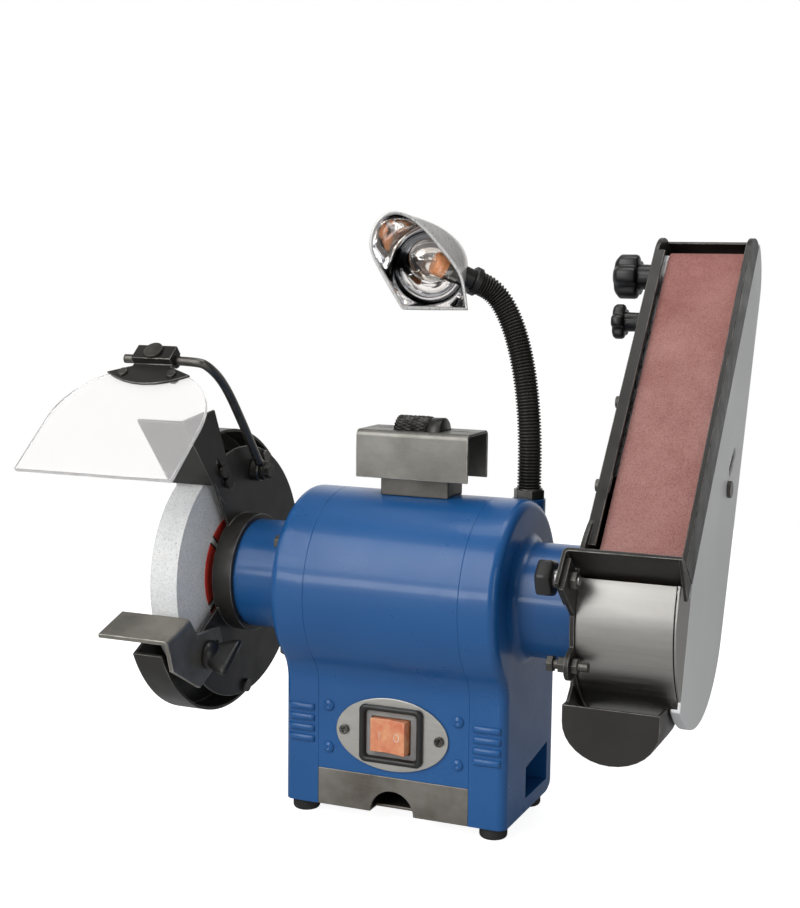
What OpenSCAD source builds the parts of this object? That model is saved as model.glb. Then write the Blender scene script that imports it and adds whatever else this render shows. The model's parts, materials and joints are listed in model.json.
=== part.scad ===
// Combination bench grinder: a grinding wheel on the left and a tilting belt sander on the right
// of one motor, with a gooseneck work lamp and a wheel dresser stored on top.
// X runs right along the shaft, Y to the back, Z up. The origin lies midway between the two
// bench bolt holes, on the underside of the base, and the rubber feet reach below it.

/* [Motor housing] */
// Height of the shaft axis above the bench
shaft_z = 150; // [145:1:170]
// Distance of the shaft axis ahead of the bench bolts
shaft_ahead = 25; // [20:1:30]
// Outer radius of the motor shell
shell_r = 63; // [60:1:68]
// Length of the motor shell between the end covers
shell_len = 105; // [100:1:125]
// Wall of the motor shell
shell_wall = 3; // [2:0.5:4]
// Depth of each end cover along the shaft
cover_len = 24.5; // [22:0.5:30]
// Wall of the end covers
cover_wall = 4; // [3:0.5:5]
// Radius of the end covers' rounded edges
cover_edge_r = 6; // [3:0.5:8]
// Distance of the base's front face ahead of the shaft axis
base_front = 38; // [35:1:44]
// Distance of the base's rear face behind the shaft axis
base_rear = 61.5; // [55:0.5:62]
// Radius of the hollow between the shell and the base's front
base_fillet = 25; // [18:1:32]
// Radius of the base's lower rear corners
base_corner_r = 16; // [8:1:20]
// Radius of the necks that hold the bearings
neck_r = 36.5; // [35:0.5:40]
// Wall of the necks
neck_wall = 4; // [3.5:0.5:6]
// Length of the neck on the wheel side
left_neck_len = 40; // [36:1:48]
// Length of the neck on the sander side
right_neck_len = 46.5; // [38:0.5:50]

/* [Base and bench mount] */
// Height of the rubber feet
foot_h = 8; // [5:0.5:12]
// Radius of the rubber feet
foot_r = 9; // [7:0.5:11]
// Radius of the bench bolt holes
bolt_hole_r = 3.5; // [2.5:0.25:4.5]
// Distance of the bench bolts from the covers' side faces
bolt_inset = 10; // [8:0.5:12]
// Thickness of the flange under the bench bolts
bolt_flange_t = 9; // [5:0.5:14]
// Length of the bolt pockets from front to back
pocket_w = 44; // [30:1:50]
// Depth of the bolt pockets into the covers
pocket_d = 18; // [15:1:19]
// Height of the bolt pockets
pocket_h = 26; // [18:1:34]
// Height of the steel channel that closes the base
channel_h = 24.5; // [15:0.5:30]
// Sheet thickness of the steel channel
channel_t = 2; // [1:0.5:3]
// Radius of the half-round notch in the channel
channel_notch_r = 15; // [8:1:18]

/* [Motor] */
// Radius of the rotor core
rotor_r = 28; // [24:1:32]
// Length of the stator and rotor cores
core_len = 56; // [40:1:64]
// Running gap between rotor and stator
air_gap = 0.6; // [0.4:0.1:1]
// Length of the winding overhang on each side of the stator
winding_len = 15; // [10:1:18]
// Radius of the shaft between the bearings
shaft_r = 9; // [8.5:0.5:12]
// Bore radius of the bearings
bearing_bore_r = 7.5; // [7:0.25:8]
// Outer radius of the bearings
bearing_r = 17.5; // [16:0.5:20]
// Width of the bearings
bearing_w = 11; // [9:0.5:13]
// Radius of the start capacitor
capacitor_r = 16; // [12:1:20]
// Length of the start capacitor
capacitor_len = 52; // [40:1:70]

/* [Switch] */
// Width of the oval switch plate
plate_w = 78; // [66:1:80]
// Height of the oval switch plate
plate_h = 48; // [44:1:52]
// Thickness of the switch plate
plate_t = 1.5; // [1:0.5:3]
// Height of the switch above the base's underside
switch_z = 53; // [50:1:60]
// Width of the switch bezel
bezel_w = 42; // [40:1:46]
// Height of the switch bezel
bezel_h = 37; // [35:1:40]
// Depth that the bezel stands proud of the plate
bezel_t = 3; // [2:0.5:5]
// Width of the rocker
rocker_w = 25; // [22:0.5:28]
// Height of the rocker
rocker_h = 22; // [18:0.5:24]
// Angle between the rocker's two positions
rocker_swing = 12; // [8:1:14]

/* [Grinding wheel] */
// Radius of the grinding wheel
wheel_r = 75; // [70:1:80]
// Width of the grinding wheel
wheel_w = 20; // [16:1:22]
// Distance of the wheel's inner face from the end of the neck
wheel_face_x = 20; // [19:1:25]
// Radius of the shaft ends
spindle_r = 6.35; // [6:0.05:6.5]
// Radius of the paper labels on the wheel
label_r = 39; // [34:1:46]
// Radius of the wheel flanges
flange_r = 28; // [24:1:29]
// Thickness of the wheel flanges
flange_t = 6; // [4:0.5:8]
// Width across the flats of the shaft nuts
nut_af = 19; // [17:1:22]
// Thickness of the shaft nuts
nut_t = 8; // [6:0.5:9]

/* [Wheel guard] */
// Radial room between the wheel and the outside of the guard cover
guard_room = 22; // [18:1:26]
// Sheet thickness of the guard
guard_t = 2; // [1.5:0.5:3]
// Radius of the black collar that carries the guard on the neck
collar_r = 40; // [39:0.5:43]
// Room between the wheel and the guard's side sheets
guard_side_gap = 6; // [5:0.5:8]
// Angle of the guard opening below level
open_below = 29; // [20:1:35]
// Angle of the guard opening above level
open_above = 59; // [50:1:64]
// Radius of the guard's spacer bolts
spacer_r = 3; // [2:0.5:3.5]

/* [Tool rest] */
// Width of the tool rest along the wheel's axis
rest_w = 52; // [45:1:60]
// Depth of the tool rest
rest_d = 30; // [22:1:36]
// Sheet thickness of the tool rest
rest_t = 3; // [2:0.5:4]
// Slope of the tool rest, falling to the front
rest_slope = 18; // [12:1:22]
// Height of the tool rest's inner edge below the shaft axis
rest_drop = 18; // [15:1:25]
// Gap between the tool rest and the wheel
rest_gap = 3; // [2:0.5:6]
// Distance that the tool rest can be drawn out
rest_travel = 12; // [6:1:14]

/* [Spark deflector] */
// Angle of the spark deflector above level
deflector_angle = 57; // [50:1:60]
// Forward lean of the spark deflector from the wheel's radius
deflector_lean = 8; // [0:1:15]
// Height of the spark deflector away from the wheel
deflector_h = 58; // [40:1:65]
// Gap between the spark deflector and the wheel
deflector_gap = 3; // [2:0.5:5]
// Width of the deflector's side flange
deflector_flange_w = 32; // [28:1:40]
// Sheet thickness of the spark deflector
deflector_t = 2; // [1.5:0.5:2.5]

/* [Eye shield] */
// Width of the eye shield
shield_w = 113; // [90:1:125]
// Length of the straight sides of the eye shield
shield_side = 45; // [30:1:60]
// Thickness of the eye shield
shield_t = 3; // [2:0.5:4]
// Slope of the eye shield, falling to the front
shield_slope = 40; // [25:1:50]
// Radius of the bent rod that holds the eye shield
rod_r = 3; // [2.5:0.25:4]
// Reach of the rod ahead of its pivot
rod_reach = 77; // [65:1:85]
// Rise of the rod above its pivot
rod_rise = 79; // [70:1:90]
// Length of the rod's level stretch
rod_level = 60; // [55:1:70]

/* [Belt sander] */
// Backward tilt of the sander arm
arm_tilt = 40.7; // [0:0.1:60]
// Width of the sanding belt
belt_w = 50; // [44:1:52]
// Thickness of the sanding belt
belt_t = 1; // [0.8:0.1:1.5]
// Distance of the belt's left edge from the arm's side sheet
belt_x = 6; // [5:0.5:10]
// Radius of the drive drum
drum_r = 53.5; // [50:0.5:56]
// Radius of the idler roller
idler_r = 16; // [14:0.5:20]
// Distance of the idler up the arm from the shaft
idler_up = 235; // [220:1:250]
// Sheet thickness of the arm frame
frame_t = 3; // [2:0.5:4]
// Distance of the arm frame's edge outside the belt
frame_margin = 6; // [5:0.5:8]
// Height of the arm's rails above the belt's round top
top_lift = 6; // [0:0.5:10]
// Width of the front lip beside the belt
lip_w = 7.5; // [5:0.5:9]
// Distance of the side cover's edge outside the drum
cover_margin = 16; // [12:1:20]
// Sheet thickness of the side cover
side_cover_t = 2; // [1:0.5:3]
// Depth of the side cover's rim
side_cover_rim = 6; // [4:1:16]
// Distance of the side cover's front edge ahead of the shaft axis
side_cover_front = 38; // [34:1:44]
// Outer radius of the drum guard
drum_guard_r = 64; // [61:0.5:66]
// Travel of the idler when the belt is slackened
tension_travel = 8; // [4:1:9]
// Width of the belt's work rest
belt_rest_w = 74; // [66:1:80]
// Depth of the belt's work rest
belt_rest_d = 31; // [24:1:38]
// Distance of the work rest below the shaft axis, along the arm
belt_rest_drop = 10.5; // [8:0.5:14]
// Gap between the work rest and the belt
belt_rest_gap = 2.2; // [1.5:0.1:4]
// Distance that the work rest can be drawn out
belt_rest_travel = 10; // [5:1:12]
// Width of the dust chute
chute_w = 59; // [54:1:60]
// Height of the dust chute's front
chute_h = 34; // [28:1:40]

/* [Dresser] */
// Length of the dresser's steel channel
dresser_len = 77; // [70:1:90]
// Depth of the dresser's channel from front to back
dresser_d = 38; // [34:1:44]
// Height of the dresser's channel
dresser_h = 31; // [28:1:36]
// Sheet thickness of the dresser's channel
dresser_t = 2; // [1.5:0.5:3]
// Radius of the knurled dresser roller
dresser_r = 12; // [10:0.5:13]
// Height of the dresser's pedestal over the shell
pedestal_h = 10.5; // [8:0.5:16]

/* [Lamp] */
// Outer radius of the gooseneck
goose_r = 8; // [6:0.5:9]
// Bore radius of the gooseneck
goose_bore_r = 4; // [2:0.5:4.5]
// Number of ribs on the gooseneck
goose_ribs = 70; // [30:1:100]
// Radius of the lamp shade's rounded back
shade_r = 25; // [23:1:28]
// Sheet thickness of the lamp shade
shade_t = 1.2; // [1:0.1:2]
// Radius of the bulb
bulb_r = 14; // [11:0.5:15]

/* [Hidden] */
$fn = 64;
// Running clearance of shafts, pins and pivots
run_gap = 0.08;
// Clearance between fixed pieces that fit together
fit_gap = 0.1;
// Clearance between moving pieces that only pass each other
pass_gap = 0.3;
eps = 0.01;

// Housing, measured from the shaft axis
shell_h = shell_len / 2;
cover_x = shell_h + cover_len;
base_z = foot_h - shaft_z;
channel_top = base_z + channel_h;
fillet_y = -(base_front + base_fillet);
fillet_z = -sqrt(pow(shell_r + base_fillet, 2) - pow(fillet_y, 2));
fillet_a = atan2(-fillet_z, -fillet_y);
neck_bore_r = neck_r - neck_wall;
bearing_x = cover_x + 3;
bearing_end = bearing_x + bearing_w;
seat_wall = 3;
shaft_hole_r = shaft_r + 1;
left_end = cover_x + left_neck_len;
right_end = cover_x + right_neck_len;
spigot_r = neck_r - 6.5;
spigot_len = 6.5;
foot_x = cover_x - foot_r - 2;
foot_y = [-base_front + foot_r + 2, base_rear - base_corner_r - foot_r + 4];
pocket_z = base_z + bolt_flange_t;
pocket_wall = 2;
rib_low = -11.5;
rib_pitch = 7;
rib_t = 1.2;
tie_r = 2.5;
tie_head_af = 8;
tie_head_t = 3.5;
tie_path = shell_r - 9;
tie_end = cover_x - 1.5;
gland_r = 8;
gland_bore_r = 4.2;
gland_nut_t = 5;
gland_len = 7;
gland_back = 6;
tie_at = [for (a = [35, 145, -50, -130]) tie_path * [cos(a), sin(a)]];

// Switch, on the front of the base
switch_mid = base_z + switch_z;
panel_screw_x = shell_h - 7.5;
panel_screw_dz = 14;
plate_screw_x = plate_w / 2 - 6;
bezel_front = base_front + plate_t + bezel_t;
bezel_rim = 5.5;
rocker_axis_y = -base_front + 2;
rocker_pin_r = 1.5;
rocker_pin_len = 2;

// Bearings
ball_r = 2.2;
ball_count = 8;
ball_path = (bearing_bore_r + bearing_r) / 2;
race_land = 1.5;

// Grinding wheel stack, along -X
label_t = 0.6;
wheel_in_x = left_end + wheel_face_x;
wheel_out_x = wheel_in_x + wheel_w;
inner_flange_x = wheel_in_x - label_t - flange_t - 2;
outer_flange_x = wheel_out_x + label_t;
wheel_nut_x = outer_flange_x + flange_t;
spindle_left = wheel_nut_x + nut_t + 1;

// Wheel guard, along -X
guard_r = wheel_r + guard_room;
plate_r = wheel_r + 11;
guard_in_x = wheel_in_x - guard_side_gap;
guard_out_x = wheel_out_x + 4;
plate_x = guard_in_x - guard_t;
rim_x = wheel_in_x + 4;
spacer_path = wheel_r + 3.5 + spacer_r;
spacer_angles = [112, 200, 268];
cup_r = flange_r + 14;
cup_x = guard_out_x + 5;
cap_r = nut_af / sqrt(3) + 13;
cap_x = spindle_left + 1.4;
neck_screw_path = neck_r - neck_wall / 2;
neck_screw_r = 1.6;
deflector_r = wheel_r + deflector_gap;
deflector_at = deflector_r * [-cos(deflector_angle), sin(deflector_angle)];
deflector_dir = deflector_angle - deflector_lean;
deflector_slot = [-13, 1];
deflector_screw_t = 12;
deflector_bolt_r = 2;
deflector_peak = 0.64 * deflector_h;

// Tool rest, in its own sloped frame at the inner edge of its top
rest_y = -sqrt(pow(wheel_r + rest_gap, 2) - pow(rest_drop, 2));
rest_bolt = [12, -34];
rest_bolt_r = 3;
rest_leg_t = 3;
rest_x = [rest_leg_t + fit_gap - plate_x - rest_w, rest_leg_t + fit_gap - plate_x];

// Eye shield
pivot = [15, 68];
pivot_r = 3;
rod_x = plate_x - 6.5;
rod_bend = 7;
eye_r = 9;
knuckle = 0.06;
rod_end = [pivot[0] - rod_reach, pivot[1] + rod_rise];
shield_mid_x = -wheel_out_x - 1;
bracket_w = 29;
wing_w = 62;
wing_y = -14.5;
bracket_low = -24;
bracket_t = 2;
clip_r = rod_r + 2.2;
clip_top = clip_r + 2;
clip_screw_r = 6.5;
shield_start = clip_r + 1.3;
shield_dome = 50;
shield_screw = [18, -15];
shield_screw_r = 1.6;

// Sander arm, in its own upright frame on the shaft axis
arm_x = right_end + 0.5;
frame_in = arm_x + frame_t;
belt_left = frame_in + belt_x;
belt_end = belt_left + belt_w;
cover_face_x = belt_end + 5;
cover_back_x = cover_face_x - side_cover_t;
idler_y = -(drum_r - idler_r);
idler = [idler_y, idler_up];
rear_a = 2 * (90 - atan2(idler_up, -idler_y));
belt_gap = 0.3;
belt_front = -(drum_r + belt_gap + belt_t);
frame_front = -(drum_r + belt_gap + belt_t + frame_margin);
frame_bottom_r = drum_guard_r + 2;
hub_r = spigot_r + run_gap;
standoff = [6, 0.41 * idler_up];
standoff_r = 5;
cover_slot = [-6, 10];
cover_slot_r = 4;
cover_slot_at = standoff + [-2, 18];
arm_screw_r = 2;
platen_y = -(drum_r + belt_gap - 0.5);
platen_t = 3;
platen_z = [drum_r + 9, idler_up - 28];
platen_screws = [drum_r + 4, drum_r + 68];
platen_screw_y = platen_y + 4;
axle_r = 5;
carriage_t = belt_x - pass_gap;
carriage_low = idler_up - 28;
carriage_x = frame_in + pass_gap;
tension_at = [idler_y + 2, idler_up + 3];
tension_stud_r = 4;
tracking_at = [idler_y + 6.5, idler_up - 33];
tracking_r = 3;
spring_at = [idler_y + 4, idler_up - 54];
spring_r = 2.6;
lug_z = [-belt_rest_drop - 27, -belt_rest_drop - 5.5];
rest_back = belt_front - belt_rest_gap;
rest_front = rest_back - belt_rest_d;
belt_rest_t = 2.5;
belt_rest_end = belt_left + belt_w / 2 + belt_rest_w / 2 - 3;
belt_rest_leg_x = [arm_x - belt_rest_t, arm_x];
belt_rest_bolt = [rest_back - 18, -belt_rest_drop - 14.5];
belt_rest_bolt_r = 3;
drum_hub_x = right_end + spigot_len + 2;
drum_x = belt_left - 1;
drum_end = belt_end + 1;
drum_nut_x = drum_end - 9;
spindle_right = drum_end + 1;
lock_at = -(drum_guard_r + 7) * [cos(59), sin(59)];
lock_r = 3;
lock_lug_r = 9;

// Dust chute, below the drum
chute_t = 2;
chute_x = arm_x - chute_t;
chute_y = [-drum_guard_r - 6, -drum_guard_r + 39];
chute_top = -drum_guard_r + 18.5;
chute_side = 0.3 * chute_h;
chute_ear = 12;
chute_screws = [for (y = [chute_y[0] + 26, chute_y[1] - 6]) [y, chute_top + 6]];

// Dresser, on top of the shell
pedestal_d = 26;
pedestal_w = 47;
channel_z = shell_r + pedestal_h;
dresser_mid = 2.5;
dresser_axis = channel_z + dresser_h - 3;
dresser_pin_r = 3;
dresser_knurl = 22.5;
dresser_body = 32;
tongue_top = dresser_axis - dresser_r - 3;

// Lamp: base on the right cover, gooseneck curve and shade
lamp_x = shell_h + 11.5;
lamp_y = 36;
lamp_boss_r = 11;
lamp_boss_z = sqrt(pow(shell_r, 2) - pow(lamp_y - lamp_boss_r, 2)) + 1;
lamp_nut_t = 7;
goose_base = [lamp_x, lamp_y, lamp_boss_z + lamp_nut_t];
goose_run = 2 * goose_r;
goose_tip = goose_r / 2;
goose_out = [0, 0, 55];
goose_in = [25, 21, -14];
goose_reach = 0.7;
goose_share = 0.11;
goose_tip_share = 0.03;
goose_end = goose_base + [-37.5, -1, 133];
goose_groove = 1.4;
goose_sides = 8;
lamp_yaw = 23;
shade_mid = goose_end + [-24, -25, 15];
shade_back = [0, 14, -5];
shade_front = -12;
shade_outline = [[-17.7, -30.8], [-38, 3.5], [-39, 10], [-35.8, 22], [-30, 28], [-23.3, 30.8],
  [-14, 27], [-2.5, 17.4], [11.3, 1.2], [19.8, -10.4], [23, -31.2]];
socket_r = 9.5;
socket_neck_r = 7;
socket_collar = 5;
socket_len = 22;
bulb_neck_r = 6;

// Colours
blue_paint = [0.2, 0.37, 0.6];
black_paint = [0.16, 0.16, 0.15];
bare_steel = [0.56, 0.55, 0.53];
silver_paint = [0.68, 0.68, 0.68];
dark_plastic = [0.2, 0.2, 0.2];

// Points on an arc round c, from angle a to angle b in n steps
function arc(c, r, a, b, n = 8) =
  [for (i = [0:n]) let (t = a + (b - a) * i / n) c + r * [cos(t), sin(t)]];

// Outline that runs round the drum and the idler at distance g outside them, its top raised by lift
function belt_loop(g, lift = 0) = concat(
  arc([0, 0], drum_r + g, rear_a, -180, 40),
  arc(idler + [0, lift], idler_r + g, 180, rear_a, 20));

// Turn a point in the YZ plane to an angle above level, counted from the front
function at_angle(r, a) = [-r * cos(a), r * sin(a)];

// Frames and basic directions
module on_shaft() { translate([0, -shaft_ahead, -base_z]) children(); }

module in_arm() { on_shaft() rotate([-arm_tilt, 0, 0]) children(); }

module in_rest() { on_shaft() translate([0, rest_y, -rest_drop]) rotate([rest_slope, 0, 0]) children(); }

module in_shield() {
  on_shaft() translate([0, rod_end[0], rod_end[1]]) rotate([shield_slope, 0, 0]) children();
}

// Frame of the spark deflector, at its edge by the wheel: Z points up along its plate
module in_deflector() {
  on_shaft() translate([0, deflector_at[0], deflector_at[1]]) rotate([90 - deflector_dir, 0, 0]) children();
}

// Frame of the lamp: X across the shade, Y to its back, Z up
module in_lamp() { on_shaft() translate(shade_mid) rotate([0, 0, lamp_yaw]) children(); }

// Extrude an outline of the YZ plane from x0 to x1
module along_x(x0, x1) { translate([x0, 0, 0]) rotate([90, 0, 90]) linear_extrude(x1 - x0) children(); }

// Turn a profile of radius against X round the X axis
module turned() { rotate([0, 90, 0]) rotate_extrude() children(); }

// Round bar along X at a place in the YZ plane
module bar(r, x0, x1, at = [0, 0]) {
  translate([x0, at[0], at[1]]) rotate([0, 90, 0]) cylinder(r = r, h = x1 - x0);
}

// Hexagon along X
module hex_bar(af, x0, x1, at = [0, 0]) {
  translate([x0, at[0], at[1]]) rotate([0, 90, 0]) cylinder(r = af / sqrt(3), h = x1 - x0, $fn = 6);
}

// Ring along X
module ring(ro, ri, x0, x1, at = [0, 0]) {
  difference() {
    bar(ro, x0, x1, at);
    bar(ri, x0 - 1, x1 + 1, at);
  }
}

// Box between two corners
module box(low, high) { translate(low) cube(high - low); }

// Slot along the first axis of its plane
module slot_2d(r, a, b) {
  translate([a, 0]) circle(r);
  translate([b, 0]) circle(r);
  translate([a, -r]) square([b - a, 2 * r]);
}

// Sector of a big circle, between two angles above level
module sector_2d(r, a, b) { polygon(concat([[0, 0]], [for (i = [0:12]) at_angle(r, a + (b - a) * i / 12)])); }

// Screw head and shank along X: the shank runs from x0 to x1 and the head sits outside x1
module screw_x(r, x0, x1, head_r, head_t, at = [0, 0]) {
  bar(r, x0, x1, at);
  bar(head_r, x1, x1 + head_t, at);
}

// Outline of the base below the shell
module base_outline(bottom, corner) {
  polygon(concat([[0, 0], [-base_front, fillet_z], [-base_front, bottom]],
    corner > 0 ? arc([base_rear - corner, bottom + corner], corner, -90, 0) : [[base_rear, bottom]],
    [[base_rear, 0]]));
}

// Hollow web between the shell and the base's front
module web_outline() {
  polygon(concat([[0, 0]], arc([fillet_y, fillet_z], base_fillet, fillet_a, 0, 12)));
}

// Inside of the housing: the bore of the shell and the room in the base
module cavity_outline(wall, bottom) {
  front = -base_front + wall;
  rear = base_rear - wall;
  circle(shell_r - wall);
  polygon([[front, -wall], [front, bottom], [rear, bottom], [rear, -wall]]);
}

module motor_shell() {
  color(blue_paint) on_shaft() difference() {
    along_x(-shell_h, shell_h) difference() {
      union() {
        circle(shell_r);
        base_outline(channel_top, 0);
        web_outline();
      }
      cavity_outline(shell_wall, channel_top - 1);
    }
    // Opening for the switch body and holes for the screws
    box([-bezel_w / 2 + 3, -base_front - 1, switch_mid - bezel_h / 2 + 3],
      [bezel_w / 2 - 3, -base_front + shell_wall + 1, switch_mid + bezel_h / 2 - 3]);
    switch_screw_holes(1.6);
    panel_screw_holes(1.6);
    gland_place() cylinder(r = gland_r + fit_gap, h = 40, center = true);
  }
}

// Places of the screws on the front panel
module front_hole(x, z, r) { translate([x, -base_front - 6, z]) rotate([-90, 0, 0]) cylinder(r = r, h = 14); }

module switch_screw_holes(r) { for (s = [-1, 1]) front_hole(s * plate_screw_x, switch_mid, r); }

module panel_screw_holes(r) {
  for (s = [-1, 1]) for (d = [-1, 1]) front_hole(s * panel_screw_x, switch_mid + d * panel_screw_dz, r);
}

// One end cover, made for the right side
module end_cover(neck_len) {
  cover_turned(neck_len);
  difference() {
    union() {
      intersection() {
        along_x(shell_h, cover_x) base_outline(base_z, base_corner_r);
        translate([0, 0, -shaft_z]) linear_extrude(shaft_z) cover_plan();
      }
      along_x(shell_h, cover_x - cover_edge_r) web_outline();
    }
    along_x(shell_h - 1, cover_x - cover_wall) cavity_outline(cover_wall, base_z + cover_wall);
    bar(neck_r, shell_h - 1, cover_x + 1);
    pocket_solid(0);
  }
  difference() {
    intersection() {
      pocket_solid(pocket_wall);
      along_x(shell_h, cover_x - cover_wall + eps)
        cavity_outline(cover_wall - eps, base_z + cover_wall - eps);
    }
    pocket_solid(0);
  }
  // Raised ribs on the front
  for (i = [0:3]) {
    z = switch_mid + rib_low + i * rib_pitch;
    box([shell_h + 4, -base_front - rib_t, z], [cover_x - cover_edge_r, -base_front + 1, z + rib_pitch / 2]);
  }
}

// Turned part of an end cover: round edge, neck and bearing seat
module cover_turned(neck_len) {
  e = cover_edge_r;
  end = cover_x + neck_len;
  turned() polygon(concat(
    [[shell_r, shell_h]],
    arc([shell_r - e, cover_x - e], e, 0, 90, 6),
    arc([neck_r + e, cover_x + e], e, 270, 180, 6),
    [[neck_r, end], [shaft_hole_r, end], [shaft_hole_r, end - neck_wall], [neck_bore_r, end - neck_wall],
      [neck_bore_r, bearing_end + seat_wall], [bearing_r - 3, bearing_end + seat_wall],
      [bearing_r - 3, bearing_end], [bearing_r, bearing_end], [bearing_r, bearing_x],
      [neck_bore_r, bearing_x], [neck_bore_r, cover_x - cover_wall],
      [shell_r - cover_wall, cover_x - cover_wall], [shell_r - cover_wall, shell_h]]));
}

// Plan of an end cover's base, with round outer corners
module cover_plan() {
  e = cover_edge_r;
  polygon(concat([[shell_h, -base_front]],
    arc([cover_x - e, -base_front + e], e, -90, 0, 6),
    arc([cover_x - e, base_rear - e], e, 0, 90, 6),
    [[shell_h, base_rear]]));
}

// Pocket round a bench bolt, open to the side, with its walls grown by g
module pocket_solid(g) {
  y0 = shaft_ahead - pocket_w / 2 - g;
  y1 = shaft_ahead + pocket_w / 2 + g;
  z0 = pocket_z - (g > 0 ? bolt_flange_t - cover_wall : 0);
  along_x(cover_x - pocket_d - g, cover_x + 1)
    polygon([[y0, z0], [y1, z0], [y1, pocket_z + pocket_h + g], [y0, pocket_z + pocket_h * 0.8 + g]]);
}

module bolt_hole() {
  translate([cover_x - bolt_inset, shaft_ahead, base_z - 1]) cylinder(r = bolt_hole_r, h = bolt_flange_t + 2);
}

module tie_holes(r, x0, x1) { for (p = tie_at) bar(r, x0, x1, p); }

module left_end_cover() {
  color(blue_paint) on_shaft() difference() {
    mirror([1, 0, 0]) end_cover(left_neck_len);
    mirror([1, 0, 0]) bolt_hole();
    neck_screws(neck_screw_r + fit_gap, 0);
    tie_holes(tie_r + fit_gap, -cover_x - 1, -shell_h + 1);
  }
}

module right_end_cover() {
  color(blue_paint) on_shaft() difference() {
    union() {
      end_cover(right_neck_len);
      ring(spigot_r, shaft_hole_r, right_end - eps, right_end + spigot_len);
      lamp_boss();
    }
    bolt_hole();
    translate([lamp_x, lamp_y, 0]) cylinder(r = goose_bore_r + 1, h = shell_r * 2);
    tie_holes(tie_r + fit_gap, shell_h - 1, tie_end + fit_gap);
  }
}

// Flat seat for the lamp's nut, with its foot cut off inside the cover
module lamp_boss() {
  difference() {
    translate([lamp_x, lamp_y, 0]) cylinder(r = lamp_boss_r, h = lamp_boss_z);
    bar(shell_r - cover_wall + eps, shell_h - 20, cover_x);
    box([shell_h - 20, 0, 0], [shell_h, shell_r, lamp_boss_z + 1]);
  }
}

module base_channel() {
  depth = base_front + base_rear;
  color(bare_steel) on_shaft() difference() {
    along_x(-shell_h, shell_h) difference() {
      translate([-base_front, base_z]) square([depth, channel_h]);
      translate([-base_front + channel_t, base_z + channel_t])
        square([depth - 2 * channel_t, channel_h]);
    }
    translate([0, -base_front - 1, base_z]) rotate([-90, 0, 0]) cylinder(r = channel_notch_r, h = 12);
  }
}

module rubber_feet() {
  color(dark_plastic) on_shaft() for (s = [-1, 1]) for (y = foot_y) {
    translate([s * foot_x, y, -shaft_z]) rotate_extrude()
      polygon([[0, 0], [foot_r - 1.5, 0], [foot_r, 1.5], [foot_r, foot_h], [0, foot_h]]);
  }
}

module stator_core() {
  color([0.45, 0.46, 0.48]) on_shaft()
    difference() {
      ring(shell_r - shell_wall - fit_gap, rotor_r + air_gap, -core_len / 2, core_len / 2);
      tie_holes(tie_r + pass_gap, -core_len, core_len);
    }
}

module stator_windings() {
  inner = rotor_r + air_gap + 3;
  outer = tie_path - tie_r - 1;
  color([0.72, 0.42, 0.2]) on_shaft() for (s = [-1, 1]) {
    scale_x(s) turned() polygon(concat(
      [[inner, core_len / 2], [outer, core_len / 2]],
      arc([outer - 5, core_len / 2 + winding_len - 5], 5, 0, 90),
      arc([inner + 5, core_len / 2 + winding_len - 5], 5, 90, 180)));
  }
}

// Mirror in X where s is negative
module scale_x(s) { mirror([s < 0 ? 1 : 0, 0, 0]) children(); }

module start_capacitor() {
  at = [base_rear - shell_wall - capacitor_r - 2, base_z + channel_t + capacitor_r + fit_gap];
  color([0.25, 0.27, 0.3]) on_shaft() {
    bar(capacitor_r, -capacitor_len / 2, capacitor_len / 2, at);
    bar(3, capacitor_len / 2, capacitor_len / 2 + 5, at);
  }
}

// Place of the cable gland on the base's rear face
module gland_place() {
  translate([-shell_h + 22, base_rear - shell_wall, channel_top + 16]) rotate([-90, 0, 0]) children();
}

module cable_gland() {
  color(dark_plastic) on_shaft() gland_place() difference() {
    union() {
      translate([0, 0, -gland_back]) cylinder(r = gland_r, h = gland_back + shell_wall + eps);
      translate([0, 0, shell_wall]) cylinder(r = gland_r + 4, h = gland_nut_t, $fn = 6);
      translate([0, 0, shell_wall + gland_nut_t - eps]) cylinder(r = gland_r, h = gland_len);
    }
    cylinder(r = gland_bore_r, h = 4 * (gland_nut_t + gland_len), center = true);
  }
}

module bearing_outer_rings() {
  color([0.7, 0.71, 0.73]) on_shaft() for (s = [-1, 1]) scale_x(s) turned() difference() {
    translate([ball_path + race_land, bearing_x])
      square([bearing_r - fit_gap / 2 - ball_path - race_land, bearing_w - fit_gap]);
    translate([ball_path, bearing_x + bearing_w / 2]) circle(ball_r + pass_gap);
  }
}

module bearing_inner_rings() {
  color([0.7, 0.71, 0.73]) on_shaft() for (s = [-1, 1]) scale_x(s) turned() difference() {
    translate([bearing_bore_r + fit_gap / 2, bearing_x])
      square([ball_path - race_land - bearing_bore_r - fit_gap / 2, bearing_w - fit_gap]);
    translate([ball_path, bearing_x + bearing_w / 2]) circle(ball_r + fit_gap);
  }
}

module bearing_balls() {
  color([0.8, 0.81, 0.83]) on_shaft() for (s = [-1, 1]) for (i = [1:ball_count]) {
    rotate([i * 360 / ball_count, 0, 0])
      translate([s * (bearing_x + bearing_w / 2), 0, ball_path]) sphere(ball_r);
  }
}

module tie_bolts() {
  color(bare_steel) on_shaft() for (p = tie_at) {
    bar(tie_r, -cover_x, tie_end, p);
    hex_bar(tie_head_af, -cover_x - tie_head_t, -cover_x, p);
  }
}

// Front plate outline of the switch: an ellipse
module switch_oval() { polygon([for (a = [0:5:355]) [plate_w / 2 * cos(a), plate_h / 2 * sin(a)]]); }

// Extrude an outline of the XZ plane towards the front, from distance d0 to d1 ahead of the axis
module frontwards(d0, d1) { translate([0, -d0, 0]) rotate([90, 0, 0]) linear_extrude(d1 - d0) children(); }

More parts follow.
